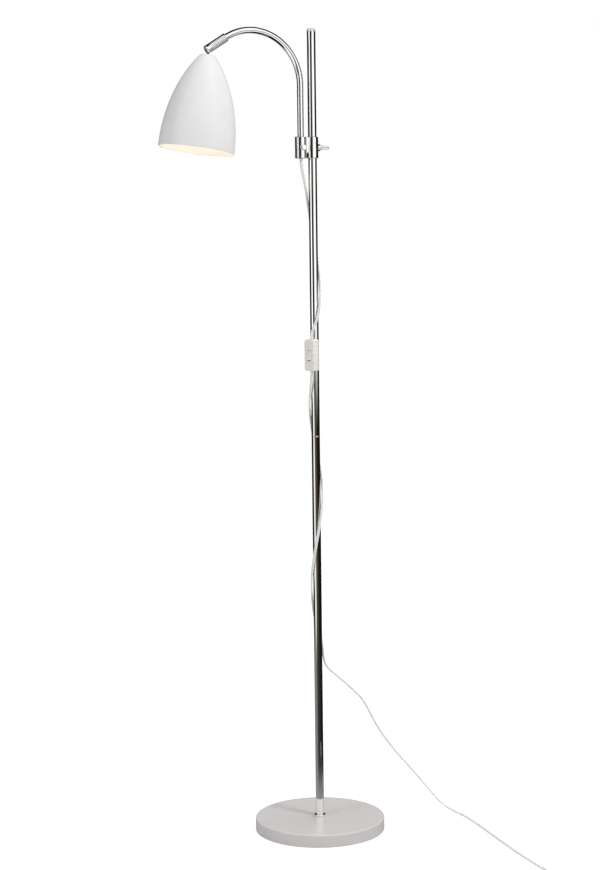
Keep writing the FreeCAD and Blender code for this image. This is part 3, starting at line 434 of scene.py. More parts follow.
felt, tree, shader, spot = material_of("grey_felt")
fibres = use(tree, grain, Vector=spot, Scale=2600.0, Detail=6.0)
matting = use(tree, grain, Vector=spot, Scale=210.0, Detail=4.0)
tinted(tree, shader, ease(tree, fibres, 0.3, 0.7), (0.045, 0.044, 0.043), (0.105, 0.102, 0.098))
preset(shader, Roughness=0.95, Sheen_Weight=0.5)
relief(tree, shader, sum_of(tree, "ADD", fibres, matting), 0.0004)
pad = turned("felt_pad", [(0, 0.0), (116.0, 0.0), (120.0, 0.5, 0.4), (120.0, 2.9, 0.4),
                          (100.0, 3.0), (60.0, 2.9), (0, 3.0)], around=192)
fitted(pad, felt, "stand", "felt", "base_pad")

zinc = grained_metal("zinc_plated_steel", 700.0, 3.0, (0.42, 0.43, 0.45), (0.58, 0.58, 0.57),
                     0.28, 0.48, 0.00002)
keep(zinc, "foot_washer", "foot_nut", "foot_stud", "foot_insert", "lower_insert",
     "upper_insert", "joint_stud", "neck_insert", "friction_discs", "cap_ring",
     "shade_washer", "lock_nut", "switch_screws", "rocker_pin")

# -------------------------------------------------------------------------- pole
# Two chromed steel tubes screwed together, with a thin brass ring between them, a turned
# collar at the foot and a pale plastic dome pushed into the top.


def polished_metal(name, colour, low, high):
    """Plated and buffed metal, which hand marks dull a little in smudges and streaks."""
    material, tree, shader, spot = material_of(name)
    handled = use(tree, marks, Vector=spot, Scale=24.0, Streaks=420.0)
    tinted(tree, shader, handled, colour, [0.94 * c for c in colour])
    preset(shader, Metallic=1.0)
    rough_between(tree, shader, handled, low, high)
    return material


chrome = polished_metal("polished_chrome", (0.90, 0.90, 0.89), 0.02, 0.055)
brass = polished_metal("brass", (0.86, 0.50, 0.17), 0.16, 0.30)


def tube(name, outer, inner, low, high, lip=0.35):
    """Mesh of a tube on the Z axis with eased lips."""
    return turned(name, [(inner, low, lip / 2), (outer, low, lip), (outer, high, lip),
                         (inner, high, lip / 2)], around=128)


pole_r, pole_bore = 8.0, 7.0
foot_z, ring_low, ring_high, pole_top = 25.0, 766.5, 768.0, 1526.0
fitted(tube("lower_pole_tube", pole_r, pole_bore, foot_z, ring_low), chrome, "stand", "chrome",
       "lower_pole")
fitted(tube("upper_pole_tube", pole_r, pole_bore, ring_high, pole_top), chrome, "stand",
       "chrome", "upper_pole")
fitted(tube("brass_ring", 8.1, 5.05, ring_low, ring_high, 0.3), brass, "stand", "brass",
       "joint_ring")
collar = turned("foot_collar_ring", [
    (8.05, 25.0), (10.75, 25.0, 0.5), (10.75, 30.0, 2.4), (8.05, 30.0, 0.2)],
    around=128, steps=12)
fitted(collar, chrome, "stand", "chrome", "foot_collar")


def moulded_plastic(name, clean, worn, low, high, fineness, rubbed, detail=2.0, depth=0.00002):
    """Moulded plastic: a fine even skin, a little darker and duller where hands rub it."""
    material, tree, shader, spot = material_of(name)
    skin = use(tree, grain, Vector=spot, Scale=fineness, Detail=detail)
    handled = use(tree, marks, Vector=spot, Scale=rubbed)
    tinted(tree, shader, handled, clean, worn)
    rough_between(tree, shader, handled, low, high)
    relief(tree, shader, skin, depth)
    return material


moulded = moulded_plastic("pale_moulded_plastic", (0.66, 0.66, 0.65), (0.56, 0.56, 0.55),
                          0.28, 0.42, 1100.0, 60.0, depth=0.00001)
cap = turned("pole_cap_dome", [
    (0, 1514.0), (6.95, 1514.0, 0.8), (6.95, 1526.0), (8.6, 1526.0, 0.3),
    (8.6, 1528.2, 1.0), (7.6, 1530.4, 2.2), (4.6, 1531.9, 2.5), (0, 1532.0)], around=96)
fitted(cap, moulded, "stand", "pale_plastic", "pole_cap")

# ------------------------------------------------------------------------- clamp
# Two chromed barrels joined by a web. A knurled thumb screw on the right pinches the pole
# through a split nylon sleeve, and a small one in front pinches the arm.
arm_x, screws_z = -24.0, 1311.0
rightwards, forwards, up_z = (1, 0, 0), (0, -1, 0), (0, 0, 1)


def shifted(mesh, x, z):
    """Mesh moved sideways and up, in millimetres."""
    mesh.transform(Matrix.Translation((x * MM, 0, z * MM)))
    return mesh


def placed(mesh, origin, z_dir, x_dir):
    """Mesh drawn about the Z axis, moved to its place; origin in millimetres."""
    z = Vector(z_dir).normalized()
    x = Vector(x_dir).normalized()
    turn_to = Matrix((x, z.cross(x), z)).transposed().to_4x4()
    mesh.transform(Matrix.Translation(Vector(origin) * MM) @ turn_to)
    return mesh


def joined(name, meshes):
    """One mesh of several."""
    shape = bmesh.new()
    for mesh in meshes:
        shape.from_mesh(mesh)
        bpy.data.meshes.remove(mesh)
    whole = bpy.data.meshes.new(name)
    shape.to_mesh(whole)
    shape.free()
    return whole


def barrel(inner):
    """One barrel of the clamp, with turned-down ends."""
    return turned("barrel", [(inner, 1291.0, 0.2), (10.2, 1291.0, 0.2), (11.0, 1291.8, 0.3),
                             (11.0, 1330.2, 0.3), (10.2, 1331.0, 0.2), (inner, 1331.0, 0.2)],
                  around=128)


def saddle(mesh, axis, wall_r=10.0, foot_top=9.8):
    """Boss mesh along Z whose foot is bent to lie in a barrel's round wall."""
    for vertex in mesh.vertices:
        if vertex.co.z < foot_top * MM:
            side = vertex.co[axis]
            vertex.co.z = math.sqrt((wall_r * MM) ** 2 - side ** 2)
    return mesh


def block(name, low, high, rounding=0.0, steps=3):
    """Mesh of a box between two corners in millimetres, with rounded edges."""
    low, high = Vector(low), Vector(high)
    shape = bmesh.new()
    bmesh.ops.create_cube(shape, size=1.0)
    bmesh.ops.scale(shape, vec=high - low, verts=shape.verts)
    bmesh.ops.translate(shape, vec=(low + high) / 2, verts=shape.verts)
    if rounding:
        bmesh.ops.bevel(shape, geom=shape.edges, offset=rounding, segments=steps,
                        affect="EDGES", profile=0.5)
    return closed(name, shape)


arm_side = shifted(barrel(6.05), arm_x, 0)
web = block("web", (-16.5, -5.0, 1291.8), (-9.5, 5.0, 1330.2), 0.5)
pole_boss = placed(saddle(turned("boss", [
    (2.55, 9.7), (6.5, 9.7), (6.5, 15.0, 0.5), (2.55, 15.0, 0.2)]), 1),
    (0, 0, screws_z), rightwards, (0, 1, 0))
arm_boss = placed(saddle(turned("boss", [
    (2.05, 9.7), (5.5, 9.7), (5.5, 12.0, 0.3), (2.05, 12.0, 0.2)]), 0),
    (arm_x, 0, screws_z), forwards, rightwards)
fitted(joined("clamp_barrels", [barrel(9.0), arm_side, web, pole_boss, arm_boss]), chrome,
       "clamp", "chrome", "clamp_body")

nylon, tree, shader, spot = material_of("nylon")
skin = use(tree, grain, Vector=spot, Scale=900.0, Detail=2.0)
tinted(tree, shader, skin, (0.76, 0.75, 0.70), (0.84, 0.83, 0.79))
preset(shader, Roughness=0.45, Subsurface_Weight=0.15, Subsurface_Scale=0.002)
relief(tree, shader, skin, 0.00001)
keep(nylon, "pole_liner", "ball_seat", "cord_tie")


def shape_tree(name, counts, sizes, material):
    """Empty Geometry Nodes tree with named inputs; its inputs, node maker and math maker."""
    tree = bpy.data.node_groups.new(name, "GeometryNodeTree")
    for keys, kind in ((counts, "Int"), (sizes, "Float"), ((material,), "Material")):
        for key in keys:
            tree.interface.new_socket(name=key, in_out="INPUT", socket_type="NodeSocket" + kind)
    tree.interface.new_socket(name="Geometry", in_out="OUTPUT", socket_type="NodeSocketGeometry")
    return tree, put(tree, "NodeGroupInput").outputs, partial(put, tree), partial(sum_of, tree)


def close_tree(tree, shape, material):
    """Real geometry in its material, at the tree's end."""
    real = put(tree, "GeometryNodeRealizeInstances", {0: shape})
    coloured = put(tree, "GeometryNodeSetMaterial", {"Geometry": real, "Material": material})
    put(tree, "NodeGroupOutput", {"Geometry": coloured})


def after_modifiers(holder):
    """Plain mesh of an object with its modifiers applied."""
    graph = bpy.context.evaluated_depsgraph_get()
    return bpy.data.meshes.new_from_object(holder.evaluated_get(graph))


def grown(name, tree, **values):
    """Plain mesh that a Geometry Nodes tree makes with these inputs."""
    holder = bpy.data.objects.new(name, bpy.data.meshes.new(name))
    scene.collection.objects.link(holder)
    modifier = holder.modifiers.new(tree.name, "NODES")
    modifier.node_group = tree
    for item in tree.interface.items_tree:
        key = item.name.replace(" ", "_").lower()
        if item.in_out == "INPUT" and key in values:
            modifier[item.identifier] = values[key]
    mesh = after_modifiers(holder)
    bpy.data.objects.remove(holder)
    mesh.name = name
    return mesh


def swept_ring(node, curve, sides, radius):
    """Node that sweeps a round section along a curve."""
    section = node("GeometryNodeCurvePrimitiveCircle", {"Resolution": sides, "Radius": radius})
    return node("GeometryNodeCurveToMesh", {"Curve": curve, "Profile Curve": section})


def tapered_bar(node, calc, ends, power, sides, radius):
    """Node that makes a straight bar whose ends run out thin."""
    bar = node("GeometryNodeResampleCurve", {
        "Curve": node("GeometryNodeCurvePrimitiveLine", ends), "Count": 9})
    along = node("GeometryNodeSplineParameter").outputs["Factor"]
    off_middle = calc("ABSOLUTE", calc("SUBTRACT", calc("MULTIPLY", along, 2.0), 1.0))
    full = calc("SUBTRACT", 1.0, calc("POWER", off_middle, power))
    bar = node("GeometryNodeSetCurveRadius", {"Curve": bar, "Radius": full})
    return swept_ring(node, bar, sides, radius)


knurl, given, node, calc = shape_tree("knurl", ["Teeth"], ["Radius", "Length", "Tooth"], "Metal")
spots = node("GeometryNodeMeshCircle", {"Vertices": given["Teeth"], "Radius": given["Radius"]})
top = node("ShaderNodeCombineXYZ", {"Z": given["Length"]})
tooth = tapered_bar(node, calc, {"End": top}, 6.0, 4, given["Tooth"])
step = calc("DIVIDE", 2 * math.pi, given["Teeth"])
spin = node("ShaderNodeCombineXYZ", {
    "Z": calc("MULTIPLY", node("GeometryNodeInputIndex"), step)})
teeth = node("GeometryNodeInstanceOnPoints", {"Points": spots, "Instance": tooth,
                                              "Rotation": spin})
close_tree(knurl, teeth, given["Metal"])


def knurled(name, core, radius, low, high, teeth):
    """A turned core with a row of knurling teeth round its grip."""
    row = grown("teeth", knurl, teeth=teeth, radius=(radius - 0.28) * MM,
                length=(high - low) * MM, tooth=0.40 * MM, metal=chrome)
    return joined(name, [turned("core", core, around=64), shifted(row, 0, low)])


pole_screw = knurled("pole_thumb_screw", [
    (0, 9.0), (2.5, 9.0), (2.5, 15.2), (3.0, 15.2, 0.2), (3.0, 16.4, 0.3), (3.75, 16.8, 0.2),
    (3.75, 31.6, 0.4), (2.9, 32.2, 0.3), (2.5, 32.4), (2.5, 34.4, 0.9), (0, 35.2)],
    4.0, 17.2, 31.4, 32)
fitted(placed(pole_screw, (0, 0, screws_z), rightwards, (0, 1, 0)), chrome, "pole_screw",
       "chrome", "pole_screw")
arm_screw = knurled("arm_thumb_screw", [
    (0, 6.05), (2.0, 6.05), (2.0, 12.2), (4.75, 12.2, 0.3), (4.75, 15.4, 0.4),
    (4.2, 15.7, 0.3), (0, 15.55)], 5.0, 12.3, 15.4, 36)
fitted(placed(arm_screw, (arm_x, 0, screws_z), forwards, rightwards), chrome, "arm_screw",
       "chrome", "arm_screw")

# --------------------------------------------------------------------------- arm
# A chromed steel tube bent once through 122 degrees. The cord enters it through a plastic
# bush at the clamp. Its far end is threaded inside and carries the ball joint.
bend_r, bend_turn, rise_start, bend_start_z, end_run = 98.0, 122.0, 1293.0, 1426.0, 8.0

bent_tube, given, node, calc = shape_tree(
    "bent_tube", ["Steps"], ["Rise", "Bend Radius", "Bend Angle", "End Run", "Tube Radius"],
    "Metal")
bend_len = calc("MULTIPLY", given["Bend Radius"], given["Bend Angle"])
whole_len = calc("ADD", calc("ADD", given["Rise"], bend_len), given["End Run"])
last = calc("SUBTRACT", given["Steps"], 1.0)
travel = calc("DIVIDE", calc("MULTIPLY", node("GeometryNodeInputIndex"), whole_len), last)
risen = calc("MINIMUM", travel, given["Rise"])
past_rise = calc("MAXIMUM", calc("SUBTRACT", travel, given["Rise"]), 0.0)
bent = calc("DIVIDE", calc("MINIMUM", past_rise, bend_len), given["Bend Radius"])
past_bend = calc("MAXIMUM", calc("SUBTRACT", past_rise, bend_len), 0.0)
cosine, sine = calc("COSINE", bent), calc("SINE", bent)
over = calc("MULTIPLY", calc("SUBTRACT", cosine, 1.0), given["Bend Radius"])
over = calc("SUBTRACT", over, calc("MULTIPLY", past_bend, sine))
up = calc("ADD", risen, calc("MULTIPLY", sine, given["Bend Radius"]))
up = calc("ADD", up, calc("MULTIPLY", past_bend, cosine))
route = node("ShaderNodeCombineXYZ", {"X": over, "Z": up})
line = node("GeometryNodeMeshLine", {"Count": given["Steps"]})
line = node("GeometryNodeSetPosition", {"Geometry": line, "Position": route})
line = node("GeometryNodeMeshToCurve", {"Mesh": line})
close_tree(bent_tube, swept_ring(node, line, 72, given["Tube Radius"]), given["Metal"])


def walled(mesh, thickness, lip=0.0):
    """Plain mesh of an open skin given a wall inwards, with eased rims."""
    shape = bmesh.new()
    shape.from_mesh(mesh)
    bmesh.ops.remove_doubles(shape, verts=shape.verts, dist=1e-7)
    bmesh.ops.recalc_face_normals(shape, faces=shape.faces)
    shape.to_mesh(mesh)
    shape.free()
    holder = bpy.data.objects.new(mesh.name, mesh)
    scene.collection.objects.link(holder)
    wall = holder.modifiers.new("wall", "SOLIDIFY")
    wall.thickness = thickness * MM
    wall.offset = -1.0
    wall.use_even_offset = True
    if lip:
        rim = holder.modifiers.new("rim", "BEVEL")
        rim.width, rim.segments = lip * MM, 3
        rim.limit_method, rim.angle_limit = "ANGLE", math.radians(60)
    solid = after_modifiers(holder)
    name = mesh.name
    bpy.data.objects.remove(holder)
    bpy.data.meshes.remove(mesh)
    solid.name = name
    return solid


def outward(mesh):
    """The open skin with its faces away from the Z axis."""
    votes = sum((face.center - Vector((0, 0, face.center.z))).dot(face.normal)
                for face in mesh.polygons)
    if votes < 0:
        mesh.flip_normals()
    return mesh


arm_skin = grown("arm_bent_tube", bent_tube, rise=(bend_start_z - rise_start) * MM,
                 bend_radius=bend_r * MM, bend_angle=math.radians(bend_turn),
                 end_run=end_run * MM, tube_radius=6.0 * MM, steps=260, metal=chrome)
shifted(arm_skin, arm_x, rise_start)
fitted(walled(arm_skin, 1.0, 0.25), chrome, "arm", "chrome", "arm_tube")
keep(moulded, "arm_grommet")

# -------------------------------------------------------------- ball joint grip
# A turned and chromed sleeve with eleven round ribs, screwed over the arm's end. A smooth
# cap ring at its mouth turns on a wire ring, and its slot lets the shade's stem swing.
bend_end = Vector((arm_x - bend_r + bend_r * math.cos(math.radians(bend_turn)), 0,
                   bend_start_z + bend_r * math.sin(math.radians(bend_turn))))
neck_dir = Vector((-math.sin(math.radians(bend_turn)), 0, math.cos(math.radians(bend_turn))))
slot_dir = Vector((-neck_dir.z, 0, neck_dir.x))

ring_row, given, node, calc = shape_tree(
    "ring_row", ["Rings"], ["Pitch", "Radius", "Proud", "Half Width", "Growth"], "Metal")
pitch = node("ShaderNodeCombineXYZ", {"Z": given["Pitch"]})
spots = node("GeometryNodeMeshLine", {"Count": given["Rings"], "Offset": pitch})
hoop = node("GeometryNodeCurvePrimitiveCircle", {"Resolution": 96, "Radius": given["Radius"]})
section = node("GeometryNodeCurvePrimitiveCircle", {"Resolution": 24, "Radius": 1.0})
size = node("ShaderNodeCombineXYZ", {"X": given["Proud"], "Y": given["Half Width"], "Z": 1.0})
section = node("GeometryNodeTransform", {"Geometry": section, "Scale": size})
ring = node("GeometryNodeCurveToMesh", {"Curve": hoop, "Profile Curve": section})
larger = calc("ADD", calc("MULTIPLY", node("GeometryNodeInputIndex"), given["Growth"]), 1.0)
spread = node("ShaderNodeCombineXYZ", {"X": larger, "Y": larger, "Z": 1.0})
rings = node("GeometryNodeInstanceOnPoints", {"Points": spots, "Instance": ring,
                                              "Scale": spread})
close_tree(ring_row, rings, given["Metal"])

ribs = grown("ribs", ring_row, rings=11, pitch=3.0 * MM, radius=7.5 * MM, proud=0.75 * MM,
             half_width=1.5 * MM, growth=0.0, metal=chrome)
shifted(ribs, 0, 3.5)
sleeve = turned("sleeve", [
    (6.05, 0, 0.2), (8.25, 0, 0.5), (8.25, 2.0, 0.2), (7.5, 2.0), (7.5, 35.0),
    (8.25, 35.0, 0.2), (8.25, 38.0, 0.3), (6.6, 38.0, 0.2), (6.6, 16.0), (6.05, 16.0)],
    around=128)
fitted(placed(joined("ribbed_grip", [sleeve, ribs]), bend_end, neck_dir, slot_dir), chrome,
       "arm", "chrome", "grip_sleeve")

ball_at, ball_r, seat_r = 40.2, 5.0, 5.05


def arc(radius, angles, middle=0.0):
    """Points of a circle by degrees, as (x, middle + y)."""
    return [(radius * math.cos(math.radians(a)), middle + radius * math.sin(math.radians(a)))
            for a in angles]


seat = arc(seat_r, (0, 10, 20, 30, 40, 52), ball_at)
neck_cap = turned("slotted_neck_cap", [(5.6, 33.0), (5.6, ball_at)] + seat + [
    (3.1, 46.2), (8.25, 46.2, 2.0), (8.25, 38.2, 0.3), (6.5, 38.2), (6.5, 33.0)], around=128)


def cut_away(mesh, cutter):
    """Mesh with another closed mesh cut out of it."""
    pieces = [bpy.data.objects.new(part.name, part) for part in (mesh, cutter)]
    for piece in pieces:
        scene.collection.objects.link(piece)
    cut = pieces[0].modifiers.new("cut", "BOOLEAN")
    cut.operation, cut.solver, cut.object = "DIFFERENCE", "EXACT", pieces[1]
    result = after_modifiers(pieces[0])
    name = mesh.name
    for piece in pieces:
        bpy.data.objects.remove(piece)
    bpy.data.meshes.remove(mesh)
    bpy.data.meshes.remove(cutter)
    result.name = name
    return result


def drawn_out(corners, way):
    """Solid that a flat outline makes when it is drawn out along a way, as a bmesh."""
    shape = bmesh.new()
    near = shape.faces.new([shape.verts.new(corner) for corner in corners])
    lifted = bmesh.ops.extrude_face_region(shape, geom=[near])
    bmesh.ops.translate(shape, vec=way, verts=[
        corner for corner in lifted["geom"] if isinstance(corner, bmesh.types.BMVert)])
    return shape


slot_half = 3.1
way = [(12.0, -slot_half), (12.0, slot_half)] + arc(slot_half, range(90, 271, 15))
stem_way = closed("stem_way", drawn_out([(x, y, 38.9) for x, y in way], (0, 0, 12.0)))
neck_cap = cut_away(neck_cap, stem_way)
fitted(placed(neck_cap, bend_end, neck_dir, slot_dir), chrome, "neck_cap", "chrome",
       "neck_cap")

# ------------------------------------------------------------------------- shade
# A bullet of spun aluminium one millimetre thick, sprayed white inside and out, held on
# the ball's threaded tail by a washer and a nut. Its outline follows one power curve.
ball_centre = bend_end + neck_dir * ball_at
lean = math.radians(8.64)
shade_up = Vector((math.sin(lean), 0, math.cos(lean)))
shade_side = Vector((math.cos(lean), 0, -math.sin(lean)))
shade_top, shade_height = -11.5, 174.0

spun_shade, given, node, calc = shape_tree(
    "spun_shade", ["Around", "Rows", "Top Rows"],
    ["Mouth Radius", "Height", "Form Height", "Form Power", "Form Root", "Hole Radius"],
    "Paint")
all_rows = calc("ADD", given["Rows"], given["Top Rows"])
sheet_metal = node("GeometryNodeMeshGrid", {
    "Size X": 1.0, "Size Y": 1.0, "Vertices X": calc("ADD", given["Around"], 1.0),
    "Vertices Y": calc("ADD", all_rows, 1.0)})
flat = node("ShaderNodeSeparateXYZ", {0: node("GeometryNodeInputPosition")}).outputs
angle = calc("MULTIPLY", flat["X"], 2 * math.pi)
share = calc("MULTIPLY", calc("ADD", flat["Y"], 0.5), calc("DIVIDE", all_rows, given["Rows"]))
climbed = calc("MULTIPLY", calc("MINIMUM", share, 1.0), given["Height"])
narrowed = calc("POWER", calc("DIVIDE", climbed, given["Form Height"]), given["Form Power"])
width = calc("POWER", calc("SUBTRACT", 1.0, narrowed), calc("DIVIDE", 1.0, given["Form Root"]))
width = calc("MULTIPLY", width, given["Mouth Radius"])
past_top = calc("MAXIMUM", calc("SUBTRACT", share, 1.0), 0.0)
inwards = calc("DIVIDE", calc("MULTIPLY", past_top, given["Rows"]), given["Top Rows"])
width = calc("ADD", width,
             calc("MULTIPLY", inwards, calc("SUBTRACT", given["Hole Radius"], width)))
spun = node("ShaderNodeCombineXYZ", {
    "X": calc("MULTIPLY", width, calc("COSINE", angle)),
    "Y": calc("MULTIPLY", width, calc("SINE", angle)), "Z": climbed})
bell = node("GeometryNodeSetPosition", {"Geometry": sheet_metal, "Position": spun})
bell = node("GeometryNodeMergeByDistance", {"Geometry": bell, "Distance": 0.000002})
close_tree(spun_shade, bell, given["Paint"])

shade_paint = sprayed_paint("shade_paint", (0.83, 0.83, 0.835), (0.78, 0.77, 0.75),
                            0.30, 0.42, 0.000003)
shade_skin = grown("shade_bell", spun_shade, mouth_radius=70.0 * MM, height=shade_height * MM,
                   form_height=185.0 * MM, form_power=2.05, form_root=1.27, hole_radius=4.15 * MM,
                   around=192, rows=96, top_rows=6, paint=shade_paint)
shade_bell = shifted(walled(outward(shade_skin), 1.0, 0.35), 0, shade_top - shade_height)
fitted(placed(shade_bell, ball_centre, shade_up, shade_side), shade_paint, "shade",
       "shade_paint", "shade_shell", sharp=40)

ball_stem = turned("ball_and_stem", arc(ball_r, range(71, -61, -9)) + [
    (2.5, -4.33), (2.5, -9.7, 0.4), (4.25, -9.7, 0.4), (4.25, -11.5, 0.2), (4.0, -11.5),
    (4.0, -24.0, 0.5), (1.6, -24.0, 0.2), (1.6, 4.74)], around=96)
# The ball and stem are coloured near black, a painted dark reflection.
stem_painted_dark = polished_metal("blackened_steel", (0.055, 0.055, 0.06), 0.22, 0.34)
fitted(placed(ball_stem, ball_centre, shade_up, shade_side), stem_painted_dark, "shade",
       "dark_steel", "ball_stem")

# ------------------------------------------------------------- holder and bulb
# A two-part moulded lamp holder with a brass screw shell, and an opal glass bulb that is
# lit. They show only from below.
holder = moulded_plastic("holder_plastic", (0.72, 0.70, 0.65), (0.62, 0.60, 0.56),
                         0.30, 0.45, 1300.0, 50.0)
keep(holder, "holder_cap", "holder_body")
keep(brass, "screw_shell", "centre_contact", "switch_contacts")

alloy = grained_metal("bulb_cap_metal", 500.0, 3.0, (0.62, 0.62, 0.61), (0.74, 0.73, 0.71),
                      0.25, 0.4)
keep(alloy, "bulb_cap")

opal, tree, shader, spot = material_of("opal_glass")
milk = use(tree, grain, Vector=spot, Scale=40.0, Detail=2.0)
tinted(tree, shader, milk, (0.90, 0.89, 0.86), (0.84, 0.82, 0.78))
tinted(tree, shader, milk, (1.0, 0.85, 0.62), (1.0, 0.82, 0.57), "Emission Color")
preset(shader, Emission_Strength=4.4, Roughness=0.25)
keep(opal, "bulb_glass")

# ------------------------------------------------------------------------ switch
# An in-line rocker switch on the cord: two warm white moulded shells held by two screws
# from behind, and a rocker on a steel pin.
switch_plastic = moulded_plastic("switch_plastic", (0.88, 0.85, 0.80), (0.80, 0.77, 0.72),
                                 0.34, 0.5, 1600.0, 90.0, detail=3.0)
switch_spot = (-12.4, -11.8, 922.5)
switch_way = (*arc(1.0, [202.0])[0], 0)
shells = block("switch_shells", (-7.5, -12.5, -29.5), (7.5, 12.5, 29.5), 2.5, 6)
shells = cut_away(shells, block("window", (0.5, -4.8, -10.9), (12, 4.8, 10.1)))
seam = cut_away(block("seam", (-1.14, -14, -31), (-0.86, 14, 31)),
                block("core", (-3, -12.2, -29.2), (3, 12.2, 29.2), 2.3, 6))
shells = cut_away(shells, seam)
for side in (1, -1):
    well = placed(turned("well", [(0, 0), (2.85, 0), (2.85, 3.0), (0, 3.0)], around=48),
                  (-5.5, 7.5 * side, 20.0 * side), (-1, 0, 0), (0, 1, 0))
    shells = cut_away(shells, well)
fitted(placed(shells, switch_spot, up_z, switch_way), switch_plastic, "stand",
       "switch_plastic", "switch_front", "switch_back", sharp=40)

outline = eased([(7.3, -0.4, 9.0), (9.1, 8.9, 1.0), (5.2, 8.9, 0.6), (2.4, 3.0), (2.4, -3.8),
                 (5.2, -9.7, 0.6), (9.1, -9.7, 1.0)], 8)
shape = drawn_out([(x, -4.5, z) for x, z in outline], (0, 9.0, 0))
rims = [edge for edge in shape.edges if edge.verts[0].co.y == edge.verts[1].co.y]
bmesh.ops.bevel(shape, geom=rims, offset=0.45, segments=3, affect="EDGES", profile=0.5)
rocker = closed("switch_rocker", shape)
pin = Vector((0.004, 0, -0.0004))       # the rocker's pin, in metres
rocker.transform(Matrix.Translation(pin) @ Matrix.Rotation(math.radians(-8.0), 4, "Y")
                 @ Matrix.Translation(-pin))
fitted(placed(rocker, switch_spot, up_z, switch_way), switch_plastic, "rocker",
       "switch_plastic", "rocker", sharp=40)

# -------------------------------------------------------------------------- cord
# A flat white twin-core cord. It comes out of the arm, winds loosely down the pole through
# the switch, leaves it low down and runs along the floor to a tied coil and its plug.
vinyl = moulded_plastic("cord_vinyl", (0.82, 0.82, 0.81), (0.72, 0.71, 0.69),
                        0.36, 0.52, 1400.0, 40.0)
cord_d, winding_r = 0.0056, 0.0117
arm_exit, at_sleeve = (-0.024, 0.0, 1.291), (-0.005116, 0.009961, 1.200)
at_switch, switch_foot = (-0.0124, -0.0118), (-0.0124, -0.0118, 0.899)
sleeve_z, turning_run = 1.200, 0.085


def laid_line(points):
    """Points along the smooth line of a cord's route; the route in metres."""
    curve = bpy.data.curves.new("route", "CURVE")
    curve.dimensions = "3D"
    curve.resolution_u = 8
    spline = curve.splines.new("NURBS")
    spline.points.add(len(points) - 1)
    for point, place in zip(spline.points, points):
        point.co = (*place, 1.0)
    spline.order_u = 3
    spline.use_endpoint_u = True
    holder = bpy.data.objects.new("route", curve)
    scene.collection.objects.link(holder)
    bpy.context.view_layer.update()
    mesh = bpy.data.meshes.new_from_object(holder)
    line = [vertex.co.copy() for vertex in mesh.vertices]
    bpy.data.objects.remove(holder)
    bpy.data.meshes.remove(mesh)
    return line


cord_half = [(1.2 + 1.6 * math.cos(math.radians(a)), 1.6 * math.sin(math.radians(a)))
             for a in (-125, -105, -80, -55, -28, 0, 28, 55, 80, 105, 125)]
cord_section = cord_half + [(-x, -y) for x, y in cord_half]


def bridge(shape, rings):
    """Faces between neighbouring rings of corners, and over both ends."""
    for low, high in zip(rings, rings[1:]):
        for k in range(len(low)):
            on = (k + 1) % len(low)
            shape.faces.new((low[k], low[on], high[on], high[k]))
    shape.faces.new(rings[0])
    shape.faces.new(rings[-1][::-1])


def flat_cord(name, line, thin_side):
    """Flat twin cord along a line; thin_side gives the way its flat side faces."""
    shape = bmesh.new()
    rings = []
    facing = None
    for i, place in enumerate(line):
        heading = (line[min(i + 1, len(line) - 1)] - line[max(i - 1, 0)]).normalized()
        wish = thin_side(place, heading)
        wish = (wish - heading * wish.dot(heading)).normalized()
        if facing is not None and wish.dot(facing) < 0:
            wish = -wish
        facing = wish
        across = heading.cross(wish)
        rings.append([shape.verts.new(place * 1000 + across * x + wish * y)
                      for x, y in cord_section])
    bridge(shape, rings)
    mesh = closed(name, shape)
    mesh.materials.append(vinyl)
    mesh.shade_smooth()
    mesh.set_sharp_from_angle(angle=math.radians(50))
    return mesh


def cord_piece(name, line, thin_side, *nodes):
    """Piece of flat cord in its nodes' place; a body, where it has one, is given where it is
    used.
    """
    piece = bpy.data.objects.new(name, flat_cord(name, line, thin_side))
    scene.collection.objects.link(piece)
    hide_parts(*nodes)
    return piece


def on_pole(angle, height):
    """Point of the winding round the pole, in metres."""
    turn = math.radians(angle)
    return (winding_r * math.cos(turn), winding_r * math.sin(turn), height / 1000)


def from_pole(place, heading):
    """Away from the pole's axis."""
    return Vector((place.x, place.y, 0)).normalized()


def leaving_arm(place, heading):
    """Towards the front at the arm's end, round to away from the pole below."""
    share = min(max((place.z - sleeve_z) / turning_run, 0), 1)
    return from_pole(place, heading) * (share - 1) + Vector((-0.2, -0.98, 0)) * share


upper_line = laid_line([
    arm_exit, (-0.024, 0.0, 1.279), (-0.0184, 0.0020, 1.257), (-0.0129, 0.0046, 1.236),
    (-0.0082, 0.0084, 1.214), at_sleeve])
upper_cord = cord_piece("cord_from_arm", upper_line, leaving_arm, "cord_upper")
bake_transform(upper_cord)

middle_line = laid_line([at_sleeve] + [
    on_pole(angle, height) for angle, height in (
        (100, 1186), (78, 1160), (57, 1134), (35, 1107), (12, 1079), (-12, 1052),
        (-40, 1026), (-72, 1002), (-107, 981))] + [
    (*at_switch, 0.964), (*at_switch, 0.946)])
middle_cord = cord_piece("cord_to_switch", middle_line, from_pole, "cord_middle")
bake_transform(middle_cord)

coil_centre = Vector((0.2087, -0.526, 0))
coil_low, coil_pitch, coil_in = 4.0, 6.3, 26.7
coil_turns, points_a_turn, plug_entry = 4.5, 16, (0.1694, -0.520, 0.0103)


def coil_point(turns):
    """Point of the coil in metres: two turns in, half a turn up, two turns out."""
    climb = min(max((turns - 2.0) / 0.5, 0), 1)
    if turns <= 2.0:
        radius = coil_in + coil_pitch * (2.0 - turns)
    elif turns < 2.5:
        radius = coil_in - coil_pitch / 4 * math.sin(math.pi * climb)
    else:
        radius = coil_in + coil_pitch * (turns - 2.5)
    high = coil_low + coil_pitch * climb ** 2 * (3 - 2 * climb)
    turn = -2 * math.pi * turns
    return (coil_centre.x + radius * math.cos(turn) / 1000,
            coil_centre.y + radius * math.sin(turn) / 1000, high / 1000)


